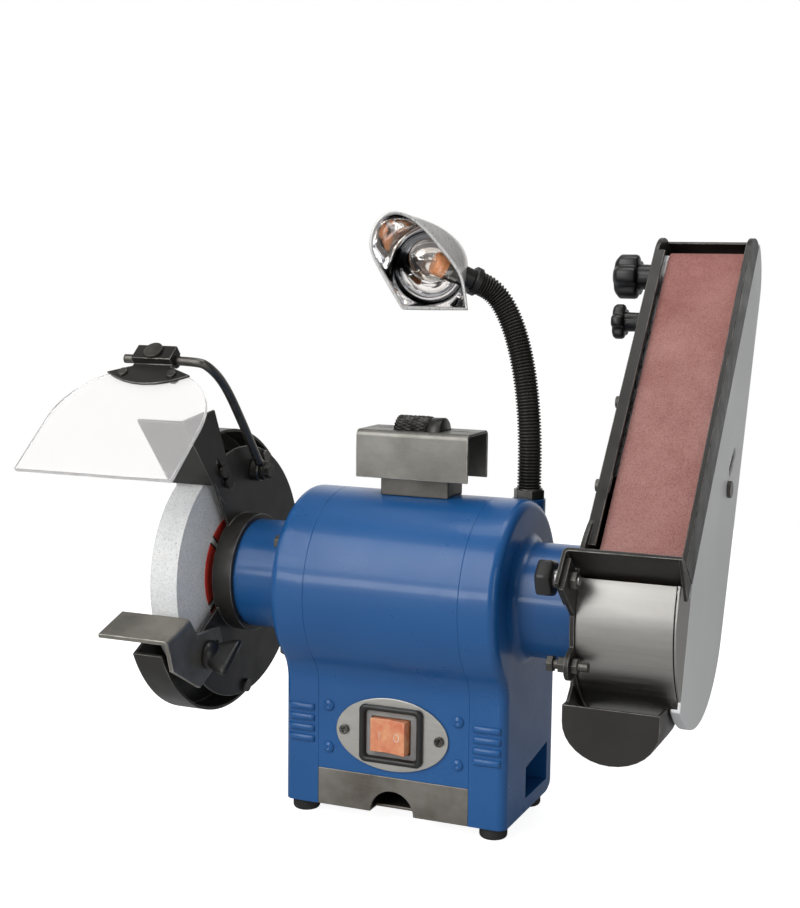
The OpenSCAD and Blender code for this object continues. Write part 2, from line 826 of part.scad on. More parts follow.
module switch_plate() {
  color([0.72, 0.72, 0.7]) on_shaft() difference() {
    translate([0, 0, switch_mid]) frontwards(base_front, base_front + plate_t) difference() {
      switch_oval();
      square([bezel_w - 6, bezel_h - 6], center = true);
    }
    switch_screw_holes(1.6);
  }
}

module switch_screws() {
  color([0.6, 0.6, 0.58]) on_shaft() translate([0, 0, switch_mid]) for (s = [-1, 1]) {
    translate([s * plate_screw_x, 0, 0]) {
      frontwards(base_front - 6, base_front + plate_t) circle(1.5);
      difference() {
        frontwards(base_front + plate_t, base_front + plate_t + 1.8) circle(3.2);
        for (a = [20, 110]) rotate([0, a, 0])
          box([-2, -base_front - plate_t - 3, -0.4], [2, -base_front - plate_t - 1, 0.4]);
      }
    }
  }
}

module panel_screws() {
  color(blue_paint) on_shaft() for (s = [-1, 1]) for (d = [-1, 1]) {
    translate([s * panel_screw_x, 0, switch_mid + d * panel_screw_dz]) {
      frontwards(base_front - 5, base_front) circle(1.5);
      translate([0, -base_front, 0]) rotate([90, 0, 0]) rotate_extrude()
        polygon(concat([[0, 0]], arc([0, -3.4], 5.2, 41, 90, 6)));
    }
  }
}

module switch_bezel() {
  w = bezel_w - 6 - 2 * fit_gap;
  h = bezel_h - 6 - 2 * fit_gap;
  color([0.1, 0.1, 0.1]) on_shaft() translate([0, 0, switch_mid]) difference() {
    union() {
      frontwards(base_front + plate_t, bezel_front) square([bezel_w, bezel_h], center = true);
      frontwards(base_front - 24, base_front + plate_t) square([w, h], center = true);
    }
    frontwards(base_front - 8, bezel_front + 1) square([rocker_w + 1.6, rocker_h + 0.8], center = true);
    frontwards(bezel_front - 2, bezel_front + 1)
      square([bezel_w - 2 * bezel_rim, bezel_h - 2 * bezel_rim + 3], center = true);
    rocker_pin(run_gap);
  }
}

// Pin of the rocker, upright, grown by g
module rocker_pin(g) {
  translate([0, rocker_axis_y, 0])
    cylinder(r = rocker_pin_r + g, h = rocker_h + 2 * rocker_pin_len + 4 * g, center = true);
}

// Rocker that tips to the left and right about an upright axis behind the panel
module switch_rocker() {
  half = rocker_w / 2;
  tip = -bezel_front - rocker_axis_y - 0.8;
  color([0.85, 0.25, 0.2, 0.9]) on_shaft() translate([0, 0, switch_mid]) {
    rocker_pin(0);
    translate([0, rocker_axis_y, -rocker_h / 2]) rotate([0, 0, -rocker_swing / 2]) linear_extrude(rocker_h)
      polygon([[-half, tip - 1.2], [0, tip + 0.8], [half, tip - 1.2], [half, 0],
        [3, 3], [-3, 3], [-half, 0]]);
  }
}

module dresser_holder() {
  color(bare_steel) on_shaft() difference() {
    union() {
      translate([dresser_mid - pedestal_w / 2, -pedestal_d / 2, 0]) cube([pedestal_w, pedestal_d, channel_z]);
      translate([dresser_mid - pedestal_w / 2, -dresser_d / 2 + dresser_t + pass_gap, channel_z - eps])
        cube([pedestal_w, dresser_d - 2 * dresser_t - 2 * pass_gap, tongue_top - channel_z + eps]);
    }
    bar(shell_r, -shell_h, shell_h);
  }
}

module dresser_channel() {
  y0 = -dresser_d / 2;
  y1 = y0 + dresser_t;
  top = channel_z + dresser_h;
  tab = 2;
  color(bare_steel) on_shaft() translate([dresser_mid, 0, 0]) difference() {
    union() {
      along_x(-dresser_len / 2, dresser_len / 2) difference() {
        polygon(concat([[y0, channel_z]], arc([y0 + 4, top - 4], 4, 180, 90, 5),
          arc([-y0 - 4, top - 4], 4, 90, 0, 5), [[-y0, channel_z]]));
        polygon(concat([[y1, channel_z - 1]], arc([y1 + 2, top - dresser_t - 2], 2, 180, 90, 4),
          arc([-y1 - 2, top - dresser_t - 2], 2, 90, 0, 4), [[-y1, channel_z - 1]]));
      }
      for (s = [-1, 1]) {
        translate([s * (dresser_body / 2 + tab), 0, 0])
          box([-tab / 2, y1 - eps, tongue_top], [tab / 2, eps - y1, top - dresser_t + eps]);
      }
    }
    box([-dresser_body / 2 - 0.8, -dresser_r - 1, top - dresser_t - 4],
      [dresser_body / 2 + 0.8, dresser_r + 1, top + 1]);
    bar(dresser_pin_r + run_gap, -dresser_body, dresser_body, [0, dresser_axis]);
  }
}

module dresser_roller() {
  left = -dresser_body / 2;
  color([0.3, 0.3, 0.29]) on_shaft() translate([dresser_mid, 0, 0]) {
    bar(dresser_r, left, left + dresser_knurl, [0, dresser_axis]);
    bar(dresser_r - 0.8, left + dresser_knurl - eps, -left, [0, dresser_axis]);
    bar(dresser_pin_r, left - 5, 5 - left, [0, dresser_axis]);
  }
}

module lamp_base_nut() {
  color([0.62, 0.62, 0.63]) on_shaft() translate([lamp_x, lamp_y, lamp_boss_z]) difference() {
    union() {
      cylinder(r = 10.5, h = lamp_nut_t - 1, $fn = 6);
      cylinder(r = goose_r + 0.8, h = lamp_nut_t);
    }
    translate([0, 0, -1]) cylinder(r = goose_bore_r + 1, h = lamp_nut_t + 2);
  }
}

// Gooseneck: a ribbed tube along one curve, with a straight run at each end
function goose_bend(t) = let (s = 1 - t, a = goose_base + [0, 0, goose_run],
  d = goose_end + goose_tip * goose_in / norm(goose_in))
  pow(s, 3) * a + 3 * s * s * t * (a + goose_out)
  + 3 * s * t * t * (d + goose_reach * goose_in) + pow(t, 3) * d;

function goose_curve(t) =
  t < goose_share ? goose_base + [0, 0, goose_run * t / goose_share]
  : t > 1 - goose_tip_share ? goose_end + goose_tip * (1 - t) / goose_tip_share * goose_in / norm(goose_in)
  : goose_bend((t - goose_share) / (1 - goose_share - goose_tip_share));

function goose_dir(t) = let (v = goose_curve(min(1, t + 0.005)) - goose_curve(max(0, t - 0.005))) v / norm(v);

// Ring of points of radius r square to the curve at t
function goose_ring(t, r) =
  let (d = goose_dir(t), p = goose_curve(t), u0 = cross(d, [0, 1, 0]), u = u0 / norm(u0), v = cross(d, u))
  [for (i = [0:goose_sides - 1]) let (a = i * 360 / goose_sides) p + r * (cos(a) * u + sin(a) * v)];

// Triangles that join ring i to ring j, facing out or, flipped, in
function skin(i, j, flip) =
  [for (k = [0:goose_sides - 1])
    let (next = (k + 1) % goose_sides, a = i * goose_sides + k, b = i * goose_sides + next,
      c = j * goose_sides + k, d = j * goose_sides + next)
    each flip ? [[a, c, b], [b, c, d]] : [[a, b, c], [b, d, c]]];

module gooseneck() {
  rings = 2 * goose_ribs;
  outer = [for (i = [0:rings - 1])
    each goose_ring(i / (rings - 1), i % 2 == 0 ? goose_r - goose_groove : goose_r)];
  inner = [for (i = [0:goose_ribs]) each goose_ring(i / goose_ribs, goose_bore_r)];
  faces = concat(
    [for (i = [0:rings - 2]) each skin(i, i + 1, true)],
    [for (i = [rings:rings + goose_ribs - 1]) each skin(i, i + 1, false)],
    skin(0, rings, false),
    skin(rings - 1, rings + goose_ribs, true));
  color([0.18, 0.18, 0.18]) on_shaft() polyhedron(concat(outer, inner), faces);
}

// Solid of the shade's form, from its open front to its round back, shrunk by g
module shade_solid(g) {
  hull() {
    translate([0, shade_front, 0]) rotate([90, 0, 0]) linear_extrude(g > 0 ? 6 : 1)
      offset(delta = -g) polygon(shade_outline);
    translate(shade_back) sphere(shade_r - g, $fn = 32);
  }
}

module lamp_shade() {
  color([0.8, 0.8, 0.82]) {
    difference() {
      in_lamp() difference() {
        shade_solid(0);
        shade_solid(shade_t);
      }
      on_shaft() socket_axis() cylinder(r = socket_neck_r + fit_gap, h = socket_len);
    }
  }
}

// Line from the gooseneck's end to the bulb, as the Z axis
module socket_axis() {
  d = -goose_in;
  translate(goose_end) rotate([0, acos(d[2] / norm(d)), atan2(d[1], d[0])]) children();
}

module lamp_socket() {
  color([0.75, 0.73, 0.68]) on_shaft() socket_axis() difference() {
    union() {
      translate([0, 0, fit_gap]) cylinder(r = socket_r, h = socket_collar - fit_gap);
      translate([0, 0, fit_gap]) cylinder(r = socket_neck_r, h = socket_len - fit_gap);
    }
    translate([0, 0, -1]) cylinder(r = goose_bore_r / 2, h = socket_len - 4);
  }
}

// Clear globe on a short neck
module lamp_bulb() {
  color([1, 0.85, 0.7, 0.5]) on_shaft() socket_axis() {
    translate([0, 0, socket_len]) cylinder(r = bulb_neck_r, h = bulb_r);
    translate([0, 0, socket_len + bulb_r + 1.5]) sphere(bulb_r);
  }
}

// Black side sheet and collar of the wheel guard
module wheel_guard_plate() {
  color(black_paint) on_shaft() difference() {
    union() {
      along_x(-guard_in_x, -plate_x) difference() {
        circle(plate_r);
        difference() {
          sector_2d(plate_r * 1.3, -open_below, open_above);
          circle(collar_r);
        }
      }
      bar(collar_r, -plate_x - eps, -left_end);
    }
    bar(flange_r + 2, -guard_in_x - 1, -left_end + 1);
    neck_screws(neck_screw_r + fit_gap, 0);
    for (a = spacer_angles) plate_hole(spacer_r - 1, at_angle(spacer_path, a));
    plate_hole(rest_bolt_r, rest_bolt_place());
    plate_hole(pivot_r, pivot);
    for (p = deflector_bolts()) plate_hole(deflector_bolt_r, p);
  }
}

// Hole through the guard's side sheet for a bolt of radius r
module plate_hole(r, at) { bar(r + fit_gap, -guard_in_x - 1, -plate_x + 1, at); }

// Places in the shaft's YZ plane of the bolts that hold the rest and the deflector
function turn_yz(p, a) = [p[0] * cos(a) - p[1] * sin(a), p[0] * sin(a) + p[1] * cos(a)];

function rest_bolt_place() = [rest_y, -rest_drop] + turn_yz(rest_bolt, rest_slope);

function deflector_bolts() = [for (s = [deflector_slot[0] + 2, deflector_slot[1] - 2])
  deflector_at + turn_yz([deflector_screw_t, s], 90 - deflector_dir)];

// Screws through the collar into the neck: shank radius r, and heads of thickness head_t
module neck_screws(r, head_t) {
  for (a = [100, 220, 320]) {
    bar(r, -guard_in_x, -left_end + 8, at_angle(neck_screw_path, a));
    if (head_t > 0) bar(2.9, -guard_in_x - head_t, -guard_in_x, at_angle(neck_screw_path, a));
  }
}

// Outer half of the wheel guard: rim, side sheet, cup over the flange and cap over the nut
module wheel_guard_cover() {
  t = guard_t;
  color(black_paint) on_shaft() difference() {
    scale_x(-1) turned() polygon([[guard_r, rim_x], [guard_r, guard_out_x + t], [cup_r + t, guard_out_x + t],
      [cup_r + t, cup_x + t], [cap_r + t, cup_x + t], [cap_r + t, cap_x + t], [0, cap_x + t], [0, cap_x],
      [cap_r, cap_x], [cap_r, cup_x], [cup_r, cup_x], [cup_r, guard_out_x],
      [guard_r - t, guard_out_x], [guard_r - t, rim_x]]);
    along_x(-guard_out_x - t - 1, -rim_x + 1) difference() {
      sector_2d(guard_r * 1.3, -open_below + 3, open_above + 4);
      circle(cup_r + t + 4);
    }
    for (a = spacer_angles)
      bar(spacer_r - 1 + fit_gap, -guard_out_x - t - 1, -rim_x + 1, at_angle(spacer_path, a));
  }
}

module guard_spacer_bolts() {
  color(bare_steel) on_shaft() for (a = spacer_angles) {
    p = at_angle(spacer_path, a);
    bar(spacer_r, -guard_out_x, -guard_in_x, p);
    bar(spacer_r - 1, -guard_out_x - guard_t, -plate_x, p);
    bar(spacer_r + 1.5, -guard_out_x - guard_t - 2.5, -guard_out_x - guard_t, p);
    bar(spacer_r + 1.5, -plate_x, -plate_x + 2.5, p);
  }
}

// Screws of the collar, the deflector and the shield's pivot
module guard_screws() {
  color([0.5, 0.5, 0.5]) on_shaft() {
    neck_screws(neck_screw_r, 2);
    for (p = deflector_bolts())
      screw_x(deflector_bolt_r, -guard_in_x - 1.5, -plate_x + deflector_t + pass_gap, 4.2, 2.4, p);
    screw_x(pivot_r, -guard_in_x - 2, -rod_x + pass_gap, eye_r - 2.5, 3, pivot);
    hex_bar(9, -rod_x + pass_gap + 3 - eps, -rod_x + pass_gap + 7, pivot);
  }
}

module motor_shaft() {
  color([0.72, 0.72, 0.73]) on_shaft() turned() polygon([
    [0, -spindle_left], [spindle_r, -spindle_left], [spindle_r, -inner_flange_x],
    [bearing_bore_r, -inner_flange_x], [bearing_bore_r, -bearing_x], [shaft_r, -bearing_x],
    [shaft_r, bearing_x], [bearing_bore_r, bearing_x], [bearing_bore_r, drum_hub_x],
    [spindle_r, drum_hub_x], [spindle_r, spindle_right], [0, spindle_right]]);
}

module rotor_core() {
  color([0.5, 0.5, 0.52]) on_shaft() {
    ring(rotor_r, shaft_r + fit_gap / 2, -core_len / 2, core_len / 2);
    for (s = [-1, 1]) scale_x(s) ring(rotor_r - 3, rotor_r - 11, core_len / 2, core_len / 2 + 6);
  }
}

module grinding_wheel() {
  color([0.72, 0.72, 0.72]) on_shaft() ring(wheel_r, spindle_r + fit_gap, -wheel_out_x, -wheel_in_x);
}

module wheel_labels() {
  color([0.75, 0.15, 0.12]) on_shaft() {
    ring(label_r, spindle_r + fit_gap, -wheel_in_x, -wheel_in_x + label_t);
    ring(label_r, spindle_r + fit_gap, -wheel_out_x - label_t, -wheel_out_x);
  }
}

module wheel_flanges() {
  color([0.6, 0.6, 0.6]) on_shaft() {
    ring(flange_r, spindle_r + fit_gap / 2, label_t - wheel_in_x, label_t - wheel_in_x + flange_t);
    ring(flange_r * 0.6, spindle_r + fit_gap / 2, label_t - wheel_in_x + flange_t - eps, -inner_flange_x);
    ring(flange_r, spindle_r + fit_gap / 2, -wheel_nut_x, -outer_flange_x);
  }
}

module shaft_nuts() {
  color([0.65, 0.65, 0.66]) on_shaft() difference() {
    union() {
      hex_bar(nut_af, -wheel_nut_x - nut_t, -wheel_nut_x);
      hex_bar(nut_af, drum_nut_x, drum_nut_x + nut_t);
    }
    bar(spindle_r + fit_gap / 2, -spindle_left - 1, spindle_right + 1);
  }
}

module drive_drum() {
  web_x = (drum_x + drum_end) / 2;
  hub = 14;
  rim = drum_r - 5;
  color([0.55, 0.55, 0.56]) on_shaft() turned() polygon([
    [spindle_r + fit_gap / 2, drum_hub_x], [hub, drum_hub_x], [hub, web_x - 3], [rim, web_x - 3],
    [rim, drum_x], [drum_r, drum_x], [drum_r, drum_end], [rim, drum_end], [rim, web_x + 3], [hub, web_x + 3],
    [hub, drum_nut_x], [spindle_r + fit_gap / 2, drum_nut_x]]);
}

// Tool rest: sloped plate with a leg that is bolted to the guard
module tool_rest() {
  leg_end = rest_bolt[0] + rest_travel + 8;
  color(black_paint) in_rest() {
    difference() {
      box([rest_x[0], -rest_d, -rest_t], [rest_x[1], 0, 0]);
      // Round the corner over the leg
      box([rest_x[1] - 4, -rest_d - 1, -4], [rest_x[1] + 1, 1, 1]);
    }
    translate([rest_x[1] - 4, 0, -4]) intersection() {
      rotate([90, 0, 0]) difference() {
        cylinder(r = 4, h = rest_d);
        translate([0, 0, -1]) cylinder(r = 4 - rest_leg_t, h = rest_d + 2);
      }
      box([0, -rest_d, 0], [5, 0, 5]);
    }
    along_x(rest_x[1] - rest_leg_t, rest_x[1]) difference() {
      polygon([[-rest_d, -4], [0, -4], [4, -14], [leg_end, -24], [leg_end, -46], [-4, -50], [-rest_d, -22]]);
      translate([0, rest_bolt[1]])
        slot_2d(rest_bolt_r + pass_gap, rest_bolt[0] - 3, rest_bolt[0] + rest_travel + 1);
    }
  }
}

// Wing knob on the tool rest's bolt
module tool_rest_knob() {
  p = rest_bolt_place();
  x0 = rest_x[1] + pass_gap;
  color(dark_plastic) on_shaft() {
    bar(rest_bolt_r, -guard_in_x - 2, x0 + 2, p);
    bar(10, x0, x0 + 7, p);
    translate([x0 + 7 - eps, p[0], p[1]]) rotate([35, 0, 0]) intersection() {
      box([0, -15, -4], [12, 15, 4]);
      rotate([0, 90, 0]) cylinder(r = 15, h = 20);
    }
  }
}

// Spark deflector: a plate across the wheel and a slotted flange on the guard
module spark_deflector() {
  t = deflector_t;
  face = -plate_x + fit_gap;
  low = deflector_slot[0] - 8;
  w = deflector_flange_w;
  color(black_paint) in_deflector() {
    box([-(wheel_out_x + 4), -t, 0], [face + t, 0, deflector_h]);
    along_x(face, face + t) difference() {
      polygon([[-eps, low], [0.55 * w, low], [0.65 * w, -4], [w, deflector_peak], [-eps, deflector_h]]);
      translate([deflector_screw_t, 0]) rotate(90)
        slot_2d(deflector_bolt_r + pass_gap, deflector_slot[0] - 2, deflector_slot[1] + 7);
    }
  }
}

// Bent rod of the eye shield: an eye on the pivot, a rising stretch and a level stretch
module shield_rod() {
  rise = [-27, 34];
  first = pivot + rise * (eye_r - 1) / norm(rise);
  corners = [[-rod_x, first[0], first[1]], [-rod_x, pivot[0] + rise[0], pivot[1] + rise[1]],
    [-rod_x, pivot[0] - 52, pivot[1] + 63], [-rod_x, rod_end[0] + rod_bend, rod_end[1] - 3],
    [-rod_x - rod_bend, rod_end[0], rod_end[1]], [-rod_x - rod_level, rod_end[0], rod_end[1]]];
  last = len(corners) - 1;
  color([0.2, 0.2, 0.2]) on_shaft() {
    difference() {
      bar(eye_r, -plate_x + fit_gap, -rod_x, pivot);
      bar(pivot_r + run_gap, -plate_x - 1, -rod_x + 1, pivot);
    }
    for (i = [0:last - 1]) link(corners[i], corners[i + 1], rod_r);
    for (i = [1:last - 1]) translate(corners[i]) sphere(rod_r + knuckle);
  }
}

// Round link between two points
module link(a, b, r) {
  d = b - a;
  translate(a) rotate([0, acos(d[2] / norm(d)), atan2(d[1], d[0])]) cylinder(r = r, h = norm(d));
}

// Outline of the eye shield: straight front, straight sides and a round top
module shield_outline() {
  w = shield_w / 2;
  y1 = -(shield_start + shield_dome);
  polygon(concat([[-w, y1 - shield_side], [w, y1 - shield_side]],
    [for (i = [0:24]) [w * cos(i * 7.5), y1 + shield_dome * sin(i * 7.5)]]));
}

module shield_screw_cuts() {
  for (s = [-1, 1]) translate([s * shield_screw[0], shield_screw[1], -20])
    cylinder(r = shield_screw_r + fit_gap, h = 40);
}

module eye_shield() {
  color([0.85, 0.92, 0.95, 0.35]) in_shield() translate([shield_mid_x, 0, 0]) difference() {
    translate([0, 0, -shield_t]) linear_extrude(shield_t) shield_outline();
    shield_screw_cuts();
  }
}

// Outline of the bracket: a narrow waist that spreads into two pointed wings, with a round lower edge
module bracket_outline() {
  a = bracket_w / 2;
  b = wing_w / 2;
  polygon(concat([[a, -rod_r], [a, -rod_r - 5]],
    [for (i = [0:12]) let (x = b * cos(i * 15)) [x, wing_y + (bracket_low - wing_y) * (1 - pow(x / b, 2))]],
    [[-a, -rod_r - 5], [-a, -rod_r]]));
}

// Clip round the rod with a winged plate on top of the shield
module shield_bracket() {
  color(black_paint) in_shield() translate([shield_mid_x, 0, 0]) difference() {
    union() {
      bar(clip_r, -bracket_w / 2, bracket_w / 2);
      linear_extrude(bracket_t) bracket_outline();
      box([-bracket_w / 2, -clip_r - 1, 0], [bracket_w / 2, clip_r + 1, clip_top]);
    }
    bar(rod_r + run_gap, -bracket_w, bracket_w);
    shield_screw_cuts();
  }
}

module shield_screws() {
  color([0.6, 0.6, 0.6]) in_shield() translate([shield_mid_x, 0, 0]) {
    for (s = [-1, 1]) translate([s * shield_screw[0], shield_screw[1], 0]) {
      translate([0, 0, -shield_t - 1]) cylinder(r = shield_screw_r, h = shield_t + bracket_t + 1 + eps);
      translate([0, 0, bracket_t]) cylinder(r = 2 * shield_screw_r, h = 1.8);
      translate([0, 0, -shield_t - 2.4]) cylinder(r = 2 * shield_screw_r, h = 2.4, $fn = 6);
    }
    translate([0, 0, clip_top]) cylinder(r = clip_screw_r, h = 2.2);
  }
}

// Arm of the belt sander: side sheet, rear wall, front rails and bearing hub
module frame_side_outline() {
  out = lock_at / norm(lock_at);
  across = lock_lug_r * [-out[1], out[0]];
  polygon(belt_loop(belt_gap + belt_t + frame_margin, top_lift));
  circle(frame_bottom_r);
  translate([rest_front + 3, lug_z[0]]) square([-rest_front - 3, lug_z[1] - lug_z[0]]);
  translate(lock_at) circle(lock_lug_r);
  polygon([lock_at + across, lock_at - across, lock_at / 2 - across, lock_at / 2 + across]);
}

module sander_frame() {
  g = belt_gap + belt_t + frame_margin;
  top = idler_up + top_lift;
  color(black_paint) in_arm() difference() {
    union() {
      along_x(arm_x, frame_in) frame_side_outline();
      // Rear wall and top, from the idler's crown down the back
      along_x(arm_x, cover_back_x - fit_gap) intersection() {
        difference() {
          polygon(belt_loop(g, top_lift));
          polygon(belt_loop(g - 2, top_lift));
        }
        polygon([[idler_y - 6, top + 60], [idler_y - 6, top], [20, 5], [20, 0], [200, 0], [200, top + 60]]);
      }
      // Front lip on the left and rail on the right
      box([arm_x, frame_front, 8], [arm_x + lip_w, frame_front + 2, top]);
      along_x(cover_back_x - 1.6, cover_face_x) rail_outline();
      ring(spigot_r + 7, hub_r, frame_in - eps, frame_in + 4);
      bar(standoff_r, frame_in - eps, cover_back_x, standoff);
      spring_seat();
    }
    bar(hub_r, arm_x - 1, frame_in + 5);
    // Slot of the belt tension stud and hole of the tracking screw
    along_x(arm_x - 1, frame_in + 1) translate(tension_at) rotate(90)
      slot_2d(tension_stud_r + 0.5, -tension_travel, 0);
    sheet_hole(tracking_r + run_gap, tracking_at);
    sheet_hole(belt_rest_bolt_r + fit_gap, belt_rest_bolt);
    sheet_hole(lock_r + fit_gap, lock_at);
    for (z = platen_screws) sheet_hole(arm_screw_r + fit_gap, [platen_screw_y, z]);
    for (p = chute_screws) sheet_hole(arm_screw_r + fit_gap, turn_yz(p, arm_tilt));
    bar(arm_screw_r + fit_gap, cover_back_x - 12, cover_back_x + 1, standoff);
  }
}

// Hole through the arm's side sheet
module sheet_hole(r, at) { bar(r, arm_x - 1, frame_in + 1, at); }

// Front rail on the right, ahead of the side cover
module rail_outline() {
  intersection() {
    polygon(belt_loop(belt_gap + belt_t + frame_margin, top_lift));
    translate([-200, 0]) square([200 - side_cover_front - fit_gap, idler_up + 100]);
  }
}

// Ledge under the tension spring
module spring_seat() {
  box([frame_in - eps, spring_at[0] - 6, spring_at[1] - 3],
    [frame_in + belt_x, spring_at[0] + 6, spring_at[1]]);
}

// Outline of the side cover, shrunk by g: its front edge follows the arm and falls back below the shaft
module side_cover_outline(g = 0) {
  front = -side_cover_front - g;
  low = -drum_r - cover_margin - 1;
  far = 2 * idler_up;
  intersection() {
    polygon(belt_loop(cover_margin - g));
    polygon([[front, far], [front, 0], [0.15 * front - g, low], [far, low], [far, far]]);
  }
}

module sander_side_cover() {
  color(silver_paint) in_arm() difference() {
    union() {
      along_x(cover_back_x, cover_face_x) side_cover_outline();
      along_x(cover_face_x - side_cover_rim, cover_face_x) difference() {
        side_cover_outline();
        side_cover_outline(side_cover_t);
      }
    }
    bar(arm_screw_r + fit_gap, cover_back_x - 1, cover_face_x + 1, standoff);
    along_x(cover_back_x - 1, cover_face_x + 1)
      translate(cover_slot_at) rotate(80) slot_2d(cover_slot_r, cover_slot[0], cover_slot[1]);
  }
}

// Curved sheet over the front and bottom of the drum
module drum_guard() {
  color(silver_paint) in_arm() along_x(frame_in, cover_back_x - 0.5) intersection() {
    difference() {
      circle(drum_guard_r);
      circle(drum_guard_r - 1.5);
    }
    sector_2d(drum_guard_r * 1.4, -14, -125);
  }
}

// Section of the dust chute across its width: straight sides and a round bottom, grown inwards by g
module chute_section(g) {
  w = chute_w / 2 - g;
  h = chute_h - g;
  top = g > 0 ? chute_top + chute_h : chute_top;
  polygon(concat([[-w, top], [-w, chute_top - chute_side]],
    [for (i = [0:16]) let (a = i * 11.25) [-w * cos(a), chute_top - chute_side - (h - chute_side) * sin(a)]],
    [[w, top]]));
}

module dust_chute() {
  mid = chute_x + chute_w / 2;
  color(black_paint) on_shaft() {
    difference() {
      translate([mid, 0, 0]) difference() {
        frontwards(-chute_y[1], -chute_y[0]) chute_section(0);
        frontwards(-chute_y[1] - 1, -chute_y[0] - chute_t) chute_section(chute_t);
      }
      // Room for the drum guard and the arm's round lower end
      bar(frame_bottom_r + pass_gap, arm_x, chute_x + chute_w + 1);
    }
    // Left ear on the arm's side sheet
    along_x(chute_x, chute_x + chute_t) difference() {
      polygon([[chute_y[0] + 8, chute_top - eps], [chute_y[1], chute_top - eps],
        [chute_y[1], chute_top + chute_ear], [chute_y[0] + 20, chute_top + chute_ear]]);
      for (p = chute_screws) translate(p) circle(arm_screw_r + fit_gap);
    }
  }
}

// Steel plate behind the belt's front run
module belt_platen() {
  color([0.5, 0.5, 0.5]) in_arm() difference() {
    union() {
      box([frame_in, platen_y, platen_z[0]], [belt_end - 2, platen_y + platen_t, platen_z[1]]);
      box([frame_in, platen_y, platen_screws[0] - 7], [frame_in + platen_t, platen_y + 22, platen_z[1] - 40]);
    }
    for (z = platen_screws)
      bar(arm_screw_r + fit_gap, frame_in - 1, frame_in + platen_t + 1, [platen_screw_y, z]);
  }
}

module sanding_belt() {
  color([0.6, 0.36, 0.33]) in_arm() along_x(belt_left, belt_end) difference() {
    polygon(belt_loop(belt_gap + belt_t));
    polygon(belt_loop(belt_gap));
  }
}

// Screws of the arm: platen, side cover, chute, work rest nut and tilt lock
module sander_screws() {
  color([0.6, 0.6, 0.6]) in_arm() {
    for (z = platen_screws)
      scale_x(-1) screw_x(arm_screw_r, -frame_in - platen_t, -arm_x, 4, 4.5, [platen_screw_y, z]);
    screw_x(arm_screw_r, cover_back_x - 10, cover_face_x, 5.5, 2.5, standoff);
    for (p = chute_screws)
      scale_x(-1) screw_x(arm_screw_r, -frame_in, -arm_x + chute_t, 3.6, 2, turn_yz(p, arm_tilt));
    difference() {
      hex_bar(10, frame_in, frame_in + 4, belt_rest_bolt);
      bar(belt_rest_bolt_r + pass_gap, frame_in - 1, frame_in + 5, belt_rest_bolt);
    }
    bar(lock_r, arm_x - 8, frame_in + 10, lock_at);
    hex_bar(3 * lock_r, arm_x - 12, arm_x - 8 + eps, lock_at);
    hex_bar(3 * lock_r, arm_x - 5, arm_x, lock_at);
    hex_bar(3 * lock_r, frame_in, frame_in + 4, lock_at);
  }
}

// Sliding block with the idler's axle
module idler_carriage() {
  x1 = carriage_x + carriage_t;
  color([0.45, 0.45, 0.45]) in_arm() difference() {
    union() {
      box([carriage_x, idler_y - 9, carriage_low], [x1, idler_y + 9, tension_at[1] + 10]);
      bar(axle_r, x1 - eps, belt_end - 0.5, idler);
    }
    bar(tension_stud_r + run_gap, carriage_x - 1, x1 - 1.2, tension_at);
  }
}

// Spring that keeps the belt tight
module tension_spring() {
  len = carriage_low - spring_at[1];
  mid_x = carriage_x + spring_r;
  color([0.6, 0.6, 0.62]) in_arm() translate([mid_x, spring_at[0], spring_at[1]]) difference() {
    cylinder(r = spring_r, h = len);
    translate([0, 0, -1]) cylinder(r = spring_r / 2, h = len + 2);
  }
}

module idler_roller() {
  color([0.6, 0.6, 0.61]) in_arm() ring(idler_r, idler_r - 5, belt_left + 1, belt_end - 1, idler);
}

module idler_bearings() {
  color([0.7, 0.71, 0.73]) in_arm() for (x = [belt_left + 2, belt_end - 9])
    ring(idler_r - 5 - fit_gap / 2, axle_r + run_gap, x, x + 7, idler);
}

// Round knob with lobes along X, from x0 to x1
module lobed_knob(r, lobes, x0, x1, at) {
  along_x(x0, x1) translate(at) difference() {
    circle(r);
    for (i = [1:lobes]) rotate((i + 0.5) * 360 / lobes) translate([r * 1.12, 0]) circle(r * 0.36);
  }
}

module tension_knob() {
  x0 = arm_x - 30;
  knob_len = 21;
  color(dark_plastic) in_arm() {
    lobed_knob(15.5, 5, x0, x0 + knob_len, tension_at);
    bar(8.5, x0 + knob_len - eps, arm_x - pass_gap, tension_at);
    bar(tension_stud_r, arm_x - 2, carriage_x + carriage_t - 1.5, tension_at);
  }
}

module tracking_knob() {
  x0 = arm_x - 25.5;
  knob_len = 11.5;
  hub_end = x0 + knob_len + 7;
  color(dark_plastic) in_arm() {
    lobed_knob(12, 5, x0, x0 + knob_len, tracking_at);
    bar(6.5, x0 + knob_len - eps, hub_end, tracking_at);
    bar(tracking_r, hub_end - eps, frame_in, tracking_at);
  }
}

